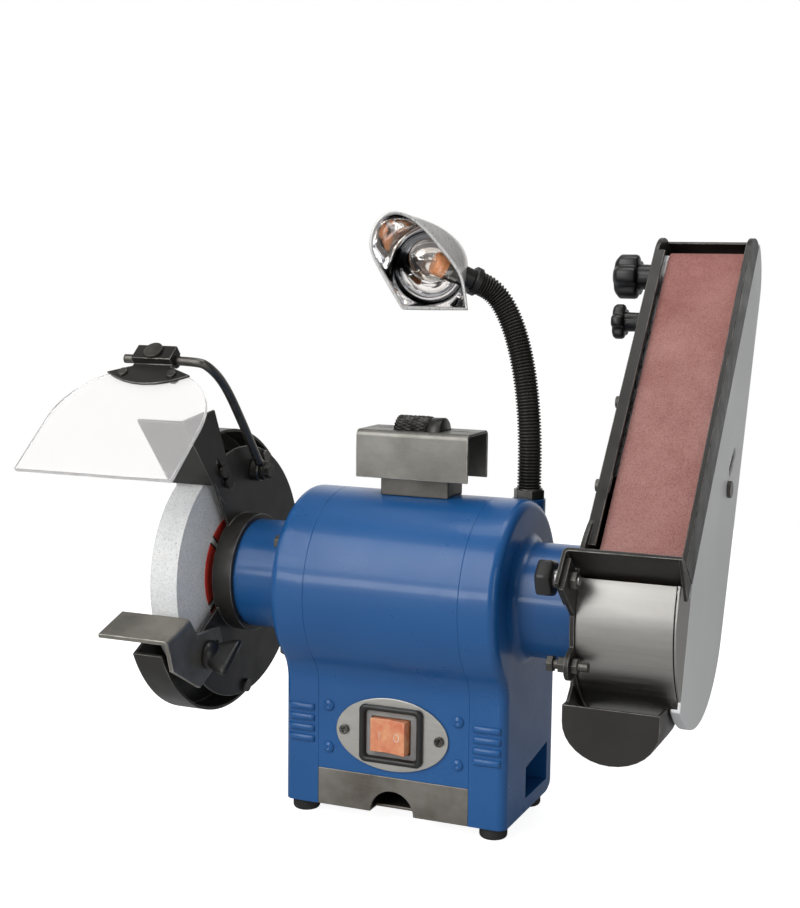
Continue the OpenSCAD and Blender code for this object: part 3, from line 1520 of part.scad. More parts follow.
// Work rest across the belt, with a slotted leg on the arm's side sheet
module belt_work_rest() {
  z1 = -belt_rest_drop;
  t = belt_rest_t;
  x0 = belt_rest_leg_x[0];
  notch_y = -frame_bottom_r - 2;
  bend = 4;
  low = lug_z[0] + 2;
  slot_end = min(belt_rest_bolt[0] + belt_rest_travel, rest_back - 5);
  color(black_paint) in_arm() {
    // Plate, notched on the left where the arm's side sheet stands
    box([frame_in + 1, rest_front, z1 - t], [belt_rest_end, rest_back, z1]);
    box([x0 + bend, rest_front, z1 - t], [frame_in + 1 + eps, notch_y, z1]);
    translate([x0 + bend, rest_front, z1 - bend]) intersection() {
      rotate([-90, 0, 0]) difference() {
        cylinder(r = bend, h = notch_y - rest_front);
        translate([0, 0, -1]) cylinder(r = bend - t, h = belt_rest_d + 2);
      }
      box([-bend - 1, 0, 0], [eps, belt_rest_d, bend + 1]);
    }
    along_x(x0, belt_rest_leg_x[1]) difference() {
      polygon([[rest_front, z1 - bend], [notch_y, z1 - bend], [rest_back, z1 - bend - 5],
        [rest_back, low + 12], [rest_back - 6, low], [rest_front, low]]);
      translate([0, belt_rest_bolt[1]]) slot_2d(belt_rest_bolt_r + pass_gap, belt_rest_bolt[0] - 2, slot_end);
    }
    // Stiffening cheek on the right
    along_x(belt_rest_end - t, belt_rest_end)
      polygon([[rest_front, z1 - t + eps], [rest_back, z1 - t + eps], [rest_back, z1 - 12]]);
  }
}

module belt_rest_knob() {
  x1 = belt_rest_leg_x[0] - pass_gap;
  color(dark_plastic) in_arm() {
    bar(belt_rest_bolt_r, x1 - 2, frame_in + 5, belt_rest_bolt);
    bar(5.5, x1 - 4, x1, belt_rest_bolt);
    hex_bar(21, x1 - 14, x1 - 4 + eps, belt_rest_bolt);
  }
}

motor_shell();
left_end_cover();
right_end_cover();
base_channel();
rubber_feet();
stator_core();
stator_windings();
start_capacitor();
cable_gland();
bearing_outer_rings();
tie_bolts();
switch_plate();
switch_bezel();
switch_screws();
panel_screws();
switch_rocker();
dresser_holder();
dresser_channel();
dresser_roller();
lamp_base_nut();
gooseneck();
lamp_shade();
lamp_socket();
lamp_bulb();
wheel_guard_plate();
wheel_guard_cover();
guard_spacer_bolts();
guard_screws();
motor_shaft();
rotor_core();
bearing_inner_rings();
bearing_balls();
grinding_wheel();
wheel_labels();
wheel_flanges();
shaft_nuts();
drive_drum();
tool_rest();
tool_rest_knob();
spark_deflector();
shield_rod();
eye_shield();
shield_bracket();
shield_screws();
sander_frame();
sander_side_cover();
drum_guard();
dust_chute();
belt_platen();
sanding_belt();
sander_screws();
idler_carriage();
tension_spring();
idler_roller();
idler_bearings();
tension_knob();
tracking_knob();
belt_work_rest();
belt_rest_knob();
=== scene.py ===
"""Looks of a combination bench grinder: finishes, soft edges and detailed pieces round the CAD frame."""

import json
import math

import bmesh
import bpy
from mathutils import Matrix, Vector


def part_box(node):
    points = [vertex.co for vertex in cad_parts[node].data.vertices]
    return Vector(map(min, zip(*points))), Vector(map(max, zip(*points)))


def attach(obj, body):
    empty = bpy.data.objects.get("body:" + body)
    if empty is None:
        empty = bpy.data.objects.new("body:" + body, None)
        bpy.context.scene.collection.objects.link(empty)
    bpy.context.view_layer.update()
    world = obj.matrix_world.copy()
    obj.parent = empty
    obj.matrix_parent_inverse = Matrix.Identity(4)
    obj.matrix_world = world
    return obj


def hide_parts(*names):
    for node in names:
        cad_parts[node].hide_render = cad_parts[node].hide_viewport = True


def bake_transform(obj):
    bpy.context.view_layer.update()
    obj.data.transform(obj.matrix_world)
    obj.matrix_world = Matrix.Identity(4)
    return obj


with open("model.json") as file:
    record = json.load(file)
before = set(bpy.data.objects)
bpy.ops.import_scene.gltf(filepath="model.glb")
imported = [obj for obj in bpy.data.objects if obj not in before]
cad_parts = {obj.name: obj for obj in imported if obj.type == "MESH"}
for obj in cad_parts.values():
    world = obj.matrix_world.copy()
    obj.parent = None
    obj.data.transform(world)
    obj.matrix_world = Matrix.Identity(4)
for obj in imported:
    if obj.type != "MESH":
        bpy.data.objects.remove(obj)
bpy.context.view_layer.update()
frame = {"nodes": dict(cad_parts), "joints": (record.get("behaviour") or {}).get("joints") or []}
nodes = frame["nodes"]
joints = {j["name"]: j for j in frame["joints"]}

MM = 0.001
SHAFT = Vector(joints["shaft_spin"]["pos_m"])

# Heights in metres over which the belt grows darker and redder upwards, and the steps of the label's print
BELT_DARKENING_Z = (0.26, 0.36)
LABEL_BLOCKS = 5
LABEL_TURN = 0.2

# Camera, fitted to the photograph's 800 by 908 frame
IMAGE_LONG_SIDE = 908
FOCAL_PIXELS = 1572.6
SENSOR = 36.0
CAMERA_AT = SHAFT + Vector((384.2, -938.2, 212.2)) * MM
CAMERA_YAW = math.radians(22.95)
CAMERA_PITCH = math.radians(6.98)
CAMERA_ROLL = math.radians(0.71)


def srgb(red, green, blue):
    """Linear colour of an 8-bit display colour."""
    def linear(value):
        value /= 255
        return value / 12.92 if value <= 0.04045 else ((value + 0.055) / 1.055) ** 2.4
    return (linear(red), linear(green), linear(blue), 1.0)


def set_input(tree, socket, value):
    """Link a node's input to a socket, or set it to a number or colour."""
    if isinstance(value, bpy.types.NodeSocket):
        tree.links.new(value, socket)
    else:
        socket.default_value = value


class Shader:
    """A Principled material with short calls for the textures that feed it."""

    def __init__(self, name, color, roughness, metallic=0.0, **values):
        self.material = bpy.data.materials.new(name)
        self.material.use_nodes = True
        self.tree = self.material.node_tree
        self.nodes = self.tree.nodes
        self.links = self.tree.links
        self.surface = self.nodes["Principled BSDF"]
        self.surface.inputs["Base Color"].default_value = color
        self.surface.inputs["Roughness"].default_value = roughness
        self.surface.inputs["Metallic"].default_value = metallic
        for key, value in values.items():
            self.surface.inputs[key.replace("_", " ").title().replace("Ior", "IOR")].default_value = value
        self.place = self.nodes.new("ShaderNodeTexCoord").outputs["Object"]

    def stretched(self, scale):
        """Object coordinates scaled by axis, for brushed or layered patterns."""
        mapping = self.nodes.new("ShaderNodeMapping")
        mapping.inputs["Scale"].default_value = scale
        self.links.new(self.place, mapping.inputs["Vector"])
        return mapping.outputs["Vector"]

    def noise(self, scale, detail=3.0, roughness=0.55, place=None):
        """Fractal noise as a value round 0.5; scale is in features a metre."""
        texture = self.nodes.new("ShaderNodeTexNoise")
        texture.inputs["Scale"].default_value = scale
        texture.inputs["Detail"].default_value = detail
        texture.inputs["Roughness"].default_value = roughness
        self.links.new(place or self.place, texture.inputs["Vector"])
        return texture.outputs["Fac"]

    def grains(self, scale):
        """Cells of a broken surface, such as abrasive grit."""
        texture = self.nodes.new("ShaderNodeTexVoronoi")
        texture.inputs["Scale"].default_value = scale
        self.links.new(self.place, texture.inputs["Vector"])
        return texture.outputs["Color"]

    def ramp(self, value, *stops, stepped=False):
        """Colour or grey by value, smooth or stepped; each stop is (place, colour or grey)."""
        node = self.nodes.new("ShaderNodeValToRGB")
        if stepped:
            node.color_ramp.interpolation = "CONSTANT"
        elements = node.color_ramp.elements
        while len(elements) < len(stops):
            elements.new(0.5)
        for element, (at, color) in zip(elements, stops):
            element.position = at
            element.color = color if isinstance(color, tuple) else (color, color, color, 1.0)
        self.links.new(value, node.inputs["Fac"])
        return node.outputs["Color"]

    def mix(self, factor, first, second, blend="MIX"):
        """Mix two colours; factor is a socket or a number. A colour mix has inputs 0, 6, 7 and output 2."""
        node = self.nodes.new("ShaderNodeMix")
        node.data_type = "RGBA"
        node.blend_type = blend
        for index, value in ((0, factor), (6, first), (7, second)):
            set_input(self.tree, node.inputs[index], value)
        return node.outputs[2]

    def math(self, operation, first, second=0.0):
        """Sum, product or other operation on sockets or numbers."""
        node = self.nodes.new("ShaderNodeMath")
        node.operation = operation
        set_input(self.tree, node.inputs[0], first)
        set_input(self.tree, node.inputs[1], second)
        return node.outputs[0]

    def feed(self, **sockets):
        """Link textures to the shader's inputs."""
        for key, socket in sockets.items():
            self.links.new(socket, self.surface.inputs[key.replace("_", " ").title()])
        return self

    def bump(self, height, strength, distance):
        """Fine relief; distance is in metres."""
        node = self.nodes.new("ShaderNodeBump")
        node.inputs["Strength"].default_value = strength
        node.inputs["Distance"].default_value = distance
        self.links.new(height, node.inputs["Height"])
        self.links.new(node.outputs["Normal"], self.surface.inputs["Normal"])
        return self


def blue_gloss():
    """Stoved blue enamel with a faint orange peel."""
    s = Shader("blue_gloss", srgb(30, 88, 147), 0.3, specular_ior_level=0.36, coat_weight=0.16,
               coat_roughness=0.08)
    tone = s.ramp(s.noise(9, 2), (0.3, srgb(27, 83, 141)), (0.7, srgb(33, 93, 154)))
    s.feed(base_color=tone, roughness=s.ramp(s.noise(45), (0.3, 0.26), (0.7, 0.36)))
    return s.bump(s.noise(170, 2), 0.03, 0.0003).material


def black_powder():
    """Satin black powder coat, a little dusty."""
    s = Shader("black_powder", srgb(36, 35, 33), 0.42, specular_ior_level=0.4)
    tone = s.ramp(s.noise(16, 4), (0.3, srgb(30, 29, 27)), (0.72, srgb(49, 47, 44)))
    s.feed(base_color=tone, roughness=s.ramp(s.noise(60), (0.3, 0.3), (0.7, 0.44)))
    return s.bump(s.noise(1500, 2), 0.1, 0.0003).material


def edge_wear_and_highlight(name, paint, metal):
    """Edge of a sheet where the finish is rubbed through to the metal in places, and lighter all along as a
    painted edge highlight.
    """
    s = Shader(name, metal, 0.4, metallic=0.7)
    # painted edge highlight: every edge face gets at least 0.15 of the metal colour, and rubbed patches get
    # more
    rub_and_sheen = s.ramp(s.noise(70, 4, 0.65), (0.36, 0.15), (0.62, 1.0))
    s.feed(base_color=s.mix(rub_and_sheen, paint, metal), roughness=s.ramp(s.noise(120), (0.3, 0.34), (0.7, 0.5)))
    return s.bump(s.noise(900, 2), 0.1, 0.0002).material


def worn_steel(name, light, dark, rough=(0.34, 0.52)):
    """Bare rolled steel with brown stains and fine scratches."""
    s = Shader(name, light, 0.4, metallic=0.85)
    stain = s.ramp(s.noise(28, 5, 0.6), (0.32, dark), (0.66, light))
    scratch = s.noise(90, 4, 0.7, s.stretched((1, 14, 14)))
    tone = s.mix(s.ramp(scratch, (0.45, 0.0), (0.75, 0.25)), stain, light)
    s.feed(base_color=tone, roughness=s.ramp(s.noise(34, 4), (0.3, rough[0]), (0.7, rough[1])))
    return s.bump(scratch, 0.08, 0.0003).material


def silver_sheet():
    """Silver stoved paint on pressed sheet."""
    s = Shader("silver_paint", srgb(230, 231, 232), 0.38, metallic=0.1)
    flake = s.noise(2400, 1)
    tone = s.ramp(s.noise(7, 2), (0.3, srgb(225, 226, 227)), (0.7, srgb(236, 237, 238)))
    s.feed(base_color=s.mix(0.12, tone, s.ramp(flake, (0.4, 0.45), (0.6, 0.75))),
           roughness=s.ramp(s.noise(40), (0.3, 0.36), (0.7, 0.48)))
    return s.bump(s.noise(260, 2), 0.04, 0.0004).material


def brushed_steel(name, color, stretch, rough, metallic=1.0):
    """Bright sheet, brushed along the axis that stretch leaves coarse."""
    s = Shader(name, color, 0.32, metallic=metallic)
    lines = s.noise(40, 5, 0.7, s.stretched(stretch))
    s.feed(base_color=s.ramp(lines, (0.3, tuple(c * 0.86 for c in color[:3]) + (1.0,)), (0.7, color)),
           roughness=s.ramp(lines, (0.3, rough[0]), (0.7, rough[1])))
    return s.bump(lines, 0.06, 0.0002).material


def chrome():
    """Bright chrome, with faint ripples and wipe marks."""
    s = Shader("chrome", (0.86, 0.86, 0.87, 1.0), 0.05, metallic=1.0)
    s.feed(roughness=s.ramp(s.noise(60, 4), (0.4, 0.03), (0.75, 0.11)))
    return s.bump(s.noise(30, 2), 0.02, 0.0005).material


def machined_steel():
    """Bright turned steel."""
    s = Shader("machined_steel", srgb(176, 176, 176), 0.3, metallic=1.0)
    turned = s.noise(120, 4, 0.6, s.stretched((9, 1, 1)))
    s.feed(base_color=s.ramp(turned, (0.3, srgb(150, 150, 150)), (0.7, srgb(196, 196, 196))),
           roughness=s.ramp(turned, (0.3, 0.22), (0.7, 0.38)))
    return s.bump(turned, 0.06, 0.0002).material


def black_plastic():
    """Moulded plastic with a fine grain."""
    s = Shader("black_plastic", srgb(30, 30, 29), 0.38)
    s.feed(base_color=s.ramp(s.noise(30), (0.3, srgb(24, 24, 23)), (0.7, srgb(38, 37, 36))),
           roughness=s.ramp(s.noise(80), (0.3, 0.3), (0.7, 0.46)))
    return s.bump(s.noise(1800, 2), 0.12, 0.0002).material


def rubber():
    """Dull black rubber."""
    s = Shader("rubber", srgb(34, 34, 34), 0.75)
    s.feed(base_color=s.ramp(s.noise(50), (0.3, srgb(28, 28, 28)), (0.7, srgb(46, 45, 44))))
    return s.bump(s.noise(900, 3), 0.25, 0.0004).material


def core_steel():
    """Stacked electrical sheet."""
    s = Shader("core_steel", srgb(110, 112, 116), 0.45, metallic=0.9)
    stack = s.noise(1400, 1, 0.5, s.stretched((1, 0.01, 0.01)))
    s.feed(base_color=s.ramp(stack, (0.4, srgb(84, 86, 90)), (0.6, srgb(128, 130, 134))))
    return s.bump(stack, 0.3, 0.0004).material


def copper():
    """Varnished copper wire."""
    s = Shader("copper_wire", srgb(176, 98, 52), 0.3, metallic=0.9, coat_weight=0.6)
    wire = s.noise(700, 2, 0.5, s.stretched((1, 0.2, 0.2)))
    s.feed(base_color=s.ramp(wire, (0.35, srgb(120, 60, 30)), (0.65, srgb(196, 112, 62))))
    return s.bump(wire, 0.6, 0.0008).material


def rocker_red():
    """Translucent orange-red moulding."""
    s = Shader("rocker_red", srgb(228, 128, 90), 0.24, coat_weight=0.3, transmission_weight=0.12)
    tone = s.ramp(s.noise(150, 4), (0.3, srgb(228, 130, 94)), (0.7, srgb(248, 180, 132)))
    s.feed(base_color=tone)
    return s.bump(s.noise(500, 1), 0.08, 0.0003).material


def clear_sheet():
    """Clear polycarbonate with faint wipe marks."""
    s = Shader("clear_sheet", (1.0, 0.99, 0.985, 1.0), 0.04, transmission_weight=0.8, ior=1.45)
    wipe = s.noise(26, 5, 0.7, s.stretched((1, 5, 1)))
    s.feed(roughness=s.ramp(wipe, (0.45, 0.02), (0.8, 0.16)))
    return s.material


def bulb_glass():
    """Clear thin glass."""
    s = Shader("bulb_glass", (1.0, 0.98, 0.95, 1.0), 0.02, transmission_weight=1.0, ior=1.45)
    s.feed(roughness=s.ramp(s.noise(90, 3), (0.4, 0.01), (0.8, 0.06)))
    return s.material


def socket_resin():
    """Orange moulded resin."""
    s = Shader("socket_resin", srgb(244, 164, 108), 0.4)
    s.feed(base_color=s.ramp(s.noise(160, 3), (0.3, srgb(236, 150, 96)), (0.7, srgb(250, 176, 122))))
    return s.bump(s.noise(700, 2), 0.1, 0.0003).material


def wheel_grit():
    """Light grey vitrified abrasive: pale grains with darker pores."""
    s = Shader("wheel_grit", srgb(206, 207, 206), 0.92)
    grain = s.ramp(s.grains(1100), (0.1, srgb(212, 214, 216)), (0.55, srgb(246, 247, 246)))
    cloud = s.ramp(s.noise(40, 4), (0.3, srgb(220, 222, 225)), (0.7, srgb(248, 248, 246)))
    pore = s.ramp(s.noise(800, 4, 0.7), (0.28, srgb(150, 154, 160)), (0.4, 1.0))
    s.feed(base_color=s.mix(1.0, s.mix(0.5, grain, cloud), pore, "MULTIPLY"))
    return s.bump(s.noise(900, 4, 0.7), 0.5, 0.0008).material


def label_paper():
    """Printed red blotter, with a pale block between two dark bars at even steps round it."""
    s = Shader("label_paper", srgb(214, 58, 44), 0.65)
    split = s.nodes.new("ShaderNodeSeparateXYZ")
    s.links.new(s.place, split.inputs[0])
    turn = s.math("ARCTAN2", s.math("SUBTRACT", split.outputs["Y"], SHAFT.y),
                  s.math("SUBTRACT", split.outputs["Z"], SHAFT.z))
    step = s.math("FRACT", s.math("ADD", s.math("MULTIPLY", turn, LABEL_BLOCKS / math.tau), LABEL_TURN))
    red, dark, pale = srgb(214, 58, 44), srgb(34, 32, 32), srgb(214, 214, 210)
    ink = s.ramp(step, (0.0, red), (0.44, dark), (0.47, pale), (0.55, dark), (0.58, red), stepped=True)
    fibre = s.ramp(s.noise(160, 4), (0.3, 0.2), (0.7, 0.5))
    s.feed(base_color=s.mix(0.25, ink, fibre, "SOFT_LIGHT"))
    return s.bump(s.noise(1400, 2), 0.2, 0.0003).material


def belt_grit():
    """Red-brown abrasive cloth in dusty patches, darker and redder higher up."""
    s = Shader("belt_grit", srgb(160, 108, 101), 0.9)
    dust = s.ramp(s.noise(22, 5, 0.65), (0.3, srgb(144, 92, 87)), (0.7, srgb(180, 136, 129)))
    grain = s.ramp(s.grains(1700), (0.15, srgb(116, 68, 64)), (0.6, srgb(184, 138, 131)))
    height = s.nodes.new("ShaderNodeSeparateXYZ")
    s.links.new(s.place, height.inputs[0])
    low, high = BELT_DARKENING_Z
    # darker and redder towards the top of the belt, by height
    darker_upward = s.ramp(height.outputs["Z"], (low, 1.0), (high, srgb(243, 224, 222)))
    s.feed(base_color=s.mix(1.0, s.mix(0.35, dust, grain), darker_upward, "MULTIPLY"))
    return s.bump(s.noise(1500, 3, 0.7), 0.5, 0.0005).material


def gooseneck_sleeve():
    """Black sleeve, a little dusty in patches."""
    s = Shader("gooseneck_sleeve", srgb(40, 39, 37), 0.36, specular_ior_level=0.36)
    s.feed(base_color=s.ramp(s.noise(24, 4), (0.3, srgb(32, 31, 29)), (0.7, srgb(54, 52, 49))),
           roughness=s.ramp(s.noise(70), (0.3, 0.3), (0.7, 0.46)))
    return s.bump(s.noise(1300, 2), 0.1, 0.0002).material


def plain_plastic(name, dark, light):
    """Moulded plastic in two close tones."""
    s = Shader(name, light, 0.45)
    s.feed(base_color=s.ramp(s.noise(70, 3), (0.3, dark), (0.7, light)))
    return s.bump(s.noise(1200, 2), 0.1, 0.0002).material


def knurled_iron():
    """Dark cutter steel with lighter worn spots."""
    s = Shader("knurled_iron", srgb(60, 59, 57), 0.5, metallic=0.8)
    s.feed(base_color=s.ramp(s.noise(220, 4, 0.7), (0.32, srgb(34, 33, 32)), (0.72, srgb(104, 102, 98))))
    return s.bump(s.noise(1500, 3), 0.4, 0.0004).material


MATERIALS = {
    "blue": blue_gloss(),
    "black": black_powder(),
    # edge materials: real wear plus a painted highlight, a lighter metal on the bevelled edges
    "black_edge_wear_and_highlight": edge_wear_and_highlight("black_edge_wear_and_highlight", srgb(52, 51, 48), srgb(132, 130, 125)),
    "rest_edge_wear_and_highlight": edge_wear_and_highlight("rest_edge_wear_and_highlight", srgb(104, 101, 95), srgb(190, 187, 180)),
    "base_steel": worn_steel("base_steel", srgb(150, 146, 139), srgb(112, 106, 98)),
    "dresser_steel": worn_steel("dresser_steel", srgb(140, 138, 133), srgb(108, 106, 100)),
    "rest_steel": worn_steel("rest_steel", srgb(156, 152, 144), srgb(122, 118, 110), (0.42, 0.56)),
    "bolt_steel": worn_steel("bolt_steel", srgb(112, 110, 105), srgb(66, 64, 61), (0.3, 0.46)),
    "holder_steel": worn_steel("holder_steel", srgb(114, 111, 106), srgb(84, 81, 77), (0.4, 0.55)),
    "shade_satin": brushed_steel("shade_satin", srgb(236, 235, 233), (8, 8, 1), (0.24, 0.34), 0.5),
    "dark_steel": worn_steel("dark_steel", srgb(84, 83, 80), srgb(48, 47, 45), (0.35, 0.55)),
    "silver": silver_sheet(),
    "guard_steel": brushed_steel("guard_steel", srgb(172, 170, 166), (0.6, 12, 12), (0.34, 0.48)),
    "plate_steel": brushed_steel("plate_steel", srgb(197, 195, 189), (1, 12, 12), (0.3, 0.46)),
    "chrome": chrome(),
    "steel": machined_steel(),
    "plastic": black_plastic(),
    "rubber": rubber(),
    "core": core_steel(),
    "copper": copper(),
    "rocker": rocker_red(),
    "clear": clear_sheet(),
    "glass": bulb_glass(),
    "resin": socket_resin(),
    "grit": wheel_grit(),
    "label": label_paper(),
    "belt": belt_grit(),
    "sleeve": gooseneck_sleeve(),
    # grey recess round the rocker: painted highlight of the bezel's lit inner wall
    "lit_recess": plain_plastic("grey_recess_highlight", srgb(128, 127, 125), srgb(150, 149, 147)),
    "mark": plain_plastic("pale_mark", srgb(226, 196, 178), srgb(240, 216, 200)),
    "knurl": knurled_iron(),
}

FINISH = {
    "blue": ["motor_shell", "left_end_cover", "right_end_cover", "panel_screws"],
    "black": ["wheel_guard_plate", "wheel_guard_cover", "spark_deflector", "sander_frame", "dust_chute",
              "belt_work_rest", "shield_bracket"],
    "base_steel": ["base_channel"],
    "dresser_steel": ["dresser_channel"],
    "holder_steel": ["dresser_holder"],
    "bolt_steel": ["sander_screws", "switch_screws", "shield_screws", "lamp_base_nut", "guard_spacer_bolts",
                   "tie_bolts"],
    "rest_steel": ["tool_rest"],
    "dark_steel": ["dresser_roller", "shield_rod", "guard_screws"],
    "silver": ["sander_side_cover"],
    "guard_steel": ["drum_guard"],
    "plate_steel": ["switch_plate"],
    "chrome": ["lamp_shade"],
    "steel": ["bearing_outer_rings", "bearing_inner_rings", "bearing_balls", "motor_shaft",
              "wheel_flanges", "shaft_nuts", "drive_drum", "belt_platen", "idler_carriage", "idler_roller",
              "idler_bearings", "tension_spring"],
    "plastic": ["switch_bezel", "cable_gland", "start_capacitor", "tension_knob", "tracking_knob",
                "belt_rest_knob", "tool_rest_knob", "gooseneck"],
    "rubber": ["rubber_feet"],
    "core": ["stator_core", "rotor_core"],
    "copper": ["stator_windings"],
    "rocker": ["switch_rocker"],
    "clear": ["eye_shield"],
    "glass": ["lamp_bulb"],
    "resin": ["lamp_socket"],
    "grit": ["grinding_wheel"],
    "label": ["wheel_labels"],
    "belt": ["sanding_belt"],
}


def finish_nodes():
    """Give every CAD node its material."""
    for key, names in FINISH.items():
        for name in names:
            materials = nodes[name].data.materials
            materials.clear()
            materials.append(MATERIALS[key])


def at_shaft(x, y, z):
    """Point in the row frame from millimetres off the middle of the shaft."""
    return SHAFT + Vector((x, y, z)) * MM


def frame_at(origin, turn):
    """Matrix from millimetres in a turned frame at origin to the row frame."""
    return Matrix.Translation(origin) @ turn.to_4x4() @ Matrix.Scale(MM, 4)


def on_axis(joint, turn):
    """Turned frame on a joint's axis, with X from the row frame's origin."""
    at = Vector(joints[joint]["pos_m"])
    return frame_at(Vector((0, at.y, at.z)), turn)


def add_piece(name, rings, materials, body, replaced=(), loop=False, change_at=(), sharp=40):
    """Skin closed rings of points into one piece; change_at lists the rings where the next material
    starts."""
    count = len(rings[0])
    points = [p for ring in rings for p in ring]
    faces, slots = [], []
    last = len(rings) if loop else len(rings) - 1
    for i in range(last):
        for k in range(count):
            a, b = i * count + k, i * count + (k + 1) % count
            c, d = (a + count) % len(points), (b + count) % len(points)
            faces.append((a, b, d, c))
            slots.append(sum(i >= start for start in change_at))
    if not loop:
        faces += [tuple(range(count))[::-1], tuple(range(last * count, (last + 1) * count))]
        slots += [0, len(change_at)]
    return add_faces(name, points, faces, slots, materials, body, replaced, sharp)


def add_faces(name, points, faces, slots, materials, body, replaced, sharp):
    """Make one mesh piece; it hides the nodes that it replaces and rides on its body."""
    mesh = bpy.data.meshes.new(name)
    mesh.from_pydata([tuple(p) for p in points], [], faces)
    for material in materials:
        mesh.materials.append(MATERIALS[material])
    mesh.polygons.foreach_set("material_index", slots)
    shape = bmesh.new()
    shape.from_mesh(mesh)
    bmesh.ops.recalc_face_normals(shape, faces=shape.faces)
    shape.to_mesh(mesh)
    shape.free()
    mesh.shade_smooth()
    mesh.set_sharp_from_angle(angle=math.radians(sharp))
    piece = bpy.data.objects.new(name, mesh)
    bpy.context.scene.collection.objects.link(piece)
    if replaced:
        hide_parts(*replaced)
    if body:
        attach(piece, body)
    return piece


def turned(place, stations, steps=48, outline=None):
    """Rings round the X axis of place. A station is (x, radius) or (x, radius, share of the outline), and
    outline(angle, x) is the fraction that is cut from the radius."""
    rings = []
    for x, radius, *shares in stations:
        share = shares[0] if shares else 0
        ring = []
        for k in range(steps):
            a = math.tau * k / steps
            r = radius * (1 - share * outline(a, x)) if outline else radius
            ring.append(place @ Vector((x, r * math.cos(a), r * math.sin(a))))
        rings.append(ring)
    return rings


def domed(at, rise, radius, degrees):
    """Stations of a dome, by the angle from its rim at x = at."""
    angles = [math.radians(a) for a in degrees]
    return [(at + rise * math.sin(a), radius * math.cos(a)) for a in angles]


def lobes(count, depth, turn):
    """Outline of a hand knob with rounded notches."""
    return lambda a, x: depth * ((1 + math.cos(count * (a - turn))) / 2) ** 2


def facets(count, turn):
    """Outline of a bar with flats."""
    step = math.tau / count
    return lambda a, x: 1 - math.cos(step / 2) / math.cos((a - turn) % step - step / 2)


def tube(place, path, radius, sides):
    """Rings of a round wire along a path of points; radius is one value or a list of them.
    The rings start square to askew, a direction in which no wire here runs."""
    radii = radius if isinstance(radius, list) else [radius] * len(path)
    askew = Vector((0.31, 0.87, 0.38))
    rings = []
    for i, (p, r) in enumerate(zip(path, radii)):
        ahead = (path[min(i + 1, len(path) - 1)] - path[max(i - 1, 0)]).normalized()
        side = ahead.cross(askew).normalized()
        other = ahead.cross(side)
        ring = [p + r * (math.cos(math.tau * k / sides) * side + math.sin(math.tau * k / sides) * other)
                for k in range(sides)]
        rings.append([place @ q for q in ring])
    return rings


def round_box(place, half_w, half_h, corner, depth, steps=6):
    """Ring of a rounded rectangle in the XZ plane of place."""
    ring = []
    for q, (sx, sz) in enumerate(((1, 1), (-1, 1), (-1, -1), (1, -1))):
        for k in range(steps + 1):
            a = math.pi / 2 * (q + k / steps)
            ring.append(place @ Vector((sx * (half_w - corner) + corner * math.cos(a), depth,
                                        sz * (half_h - corner) + corner * math.sin(a))))
    return ring


# Millimetres, with places from the shaft as in the CAD source; degrees, or radians where the name says so
SQUARE = Matrix.Identity(3)
ARM_UP = Vector(joints["belt_tension"]["axis"])
ARM_TURN = Matrix.Rotation(-math.atan2(ARM_UP.y, ARM_UP.z), 3, "X")
SHEET_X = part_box("sander_frame")[0].x / MM
HANDS = ((-1, "left"), (1, "right"))
NEAR_ZERO = 1e-6

# Gooseneck: ends of its middle line, the curve's pull at each, straight runs with their shares, and ribs
GOOSE_BASE = (64, 36, 65.83)
GOOSE_END = (26.5, 35, 198.83)
GOOSE_OUT = Vector((0, 0, 55))
GOOSE_IN = Vector((25, 21, -14))
GOOSE_REACH = 0.7
GOOSE_RUN = 16
GOOSE_TIP = 4
GOOSE_SHARE = 0.11
GOOSE_TIP_SHARE = 0.03
GOOSE_RIBS = 70
GOOSE_RIB_STEPS = 6
GOOSE_R = 8
GOOSE_GROOVE = 1.4

# Lamp shade: front outline as (across, up), depths, round back with its dome, and rolled rim
SHADE_MID = (2.5, 10, 213.83)
SHADE_YAW = 23
SHADE_OUTLINE = [(-17.7, -30.8), (-38, 3.5), (-39, 10), (-35.8, 22), (-30, 28), (-23.3, 30.8), (-14, 27),
                 (-2.5, 17.4), (11.3, 1.2), (19.8, -10.4), (23, -31.2)]
SHADE_HEART = Vector((-8, -4))
SHADE_FRONT = -13
SHADE_BACK = Vector((0, 14, -5))
SHADE_R = 25
SHADE_SWELL = 4
SHADE_BULGE = 1.2
SHADE_CORNER_Z = -22
SHADE_WALL = 1.2
SHADE_STEPS = 96
SHADE_RINGS = 12
DOME_RINGS = 9
DOME_STEP = 9.6
RIM_R = 1.1
RIM_OUT = 0.3
RIM_BACK = 1.0
RIM_STEPS = 8
RIM_HALF_TURNS = 1.7

# Bulb and filament, along the socket's axis
BULB_MID = 37.5
BULB_R = 14
BULB_WALL = 0.7
COIL_MID = 41
COIL_R = 1.2
COIL_HALF = 7
COIL_STEP = 0.175
COIL_RADIANS = 0.9
COIL_LEADS = [(33.5, 3), (36.5, 5)]

# Knobs: how far each stands out of the arm's sheet, and the wing of the tool rest's knob
TENSION_KNOB_OUT = 30
TRACKING_KNOB_OUT = 25.5
BELT_REST_KNOB_OUT = 16.8
KNOB_LOBES = 5
KNOB_RADIANS = 0.63
KNOB_FLATS = 6
KNOB_GAP = 0.3
KNOB_DOME = 8
KNOB_R = 10
WING_TURN = 35
WING_ROOT = 4
WING_HALF = 9
WING_SPREAD = 6
WING_THICK = 3.8
WING_TAPER = 1.2
WING_EDGE = (1.6, 1.2)
WING_RINGS = 12
WING_SIDES = 40

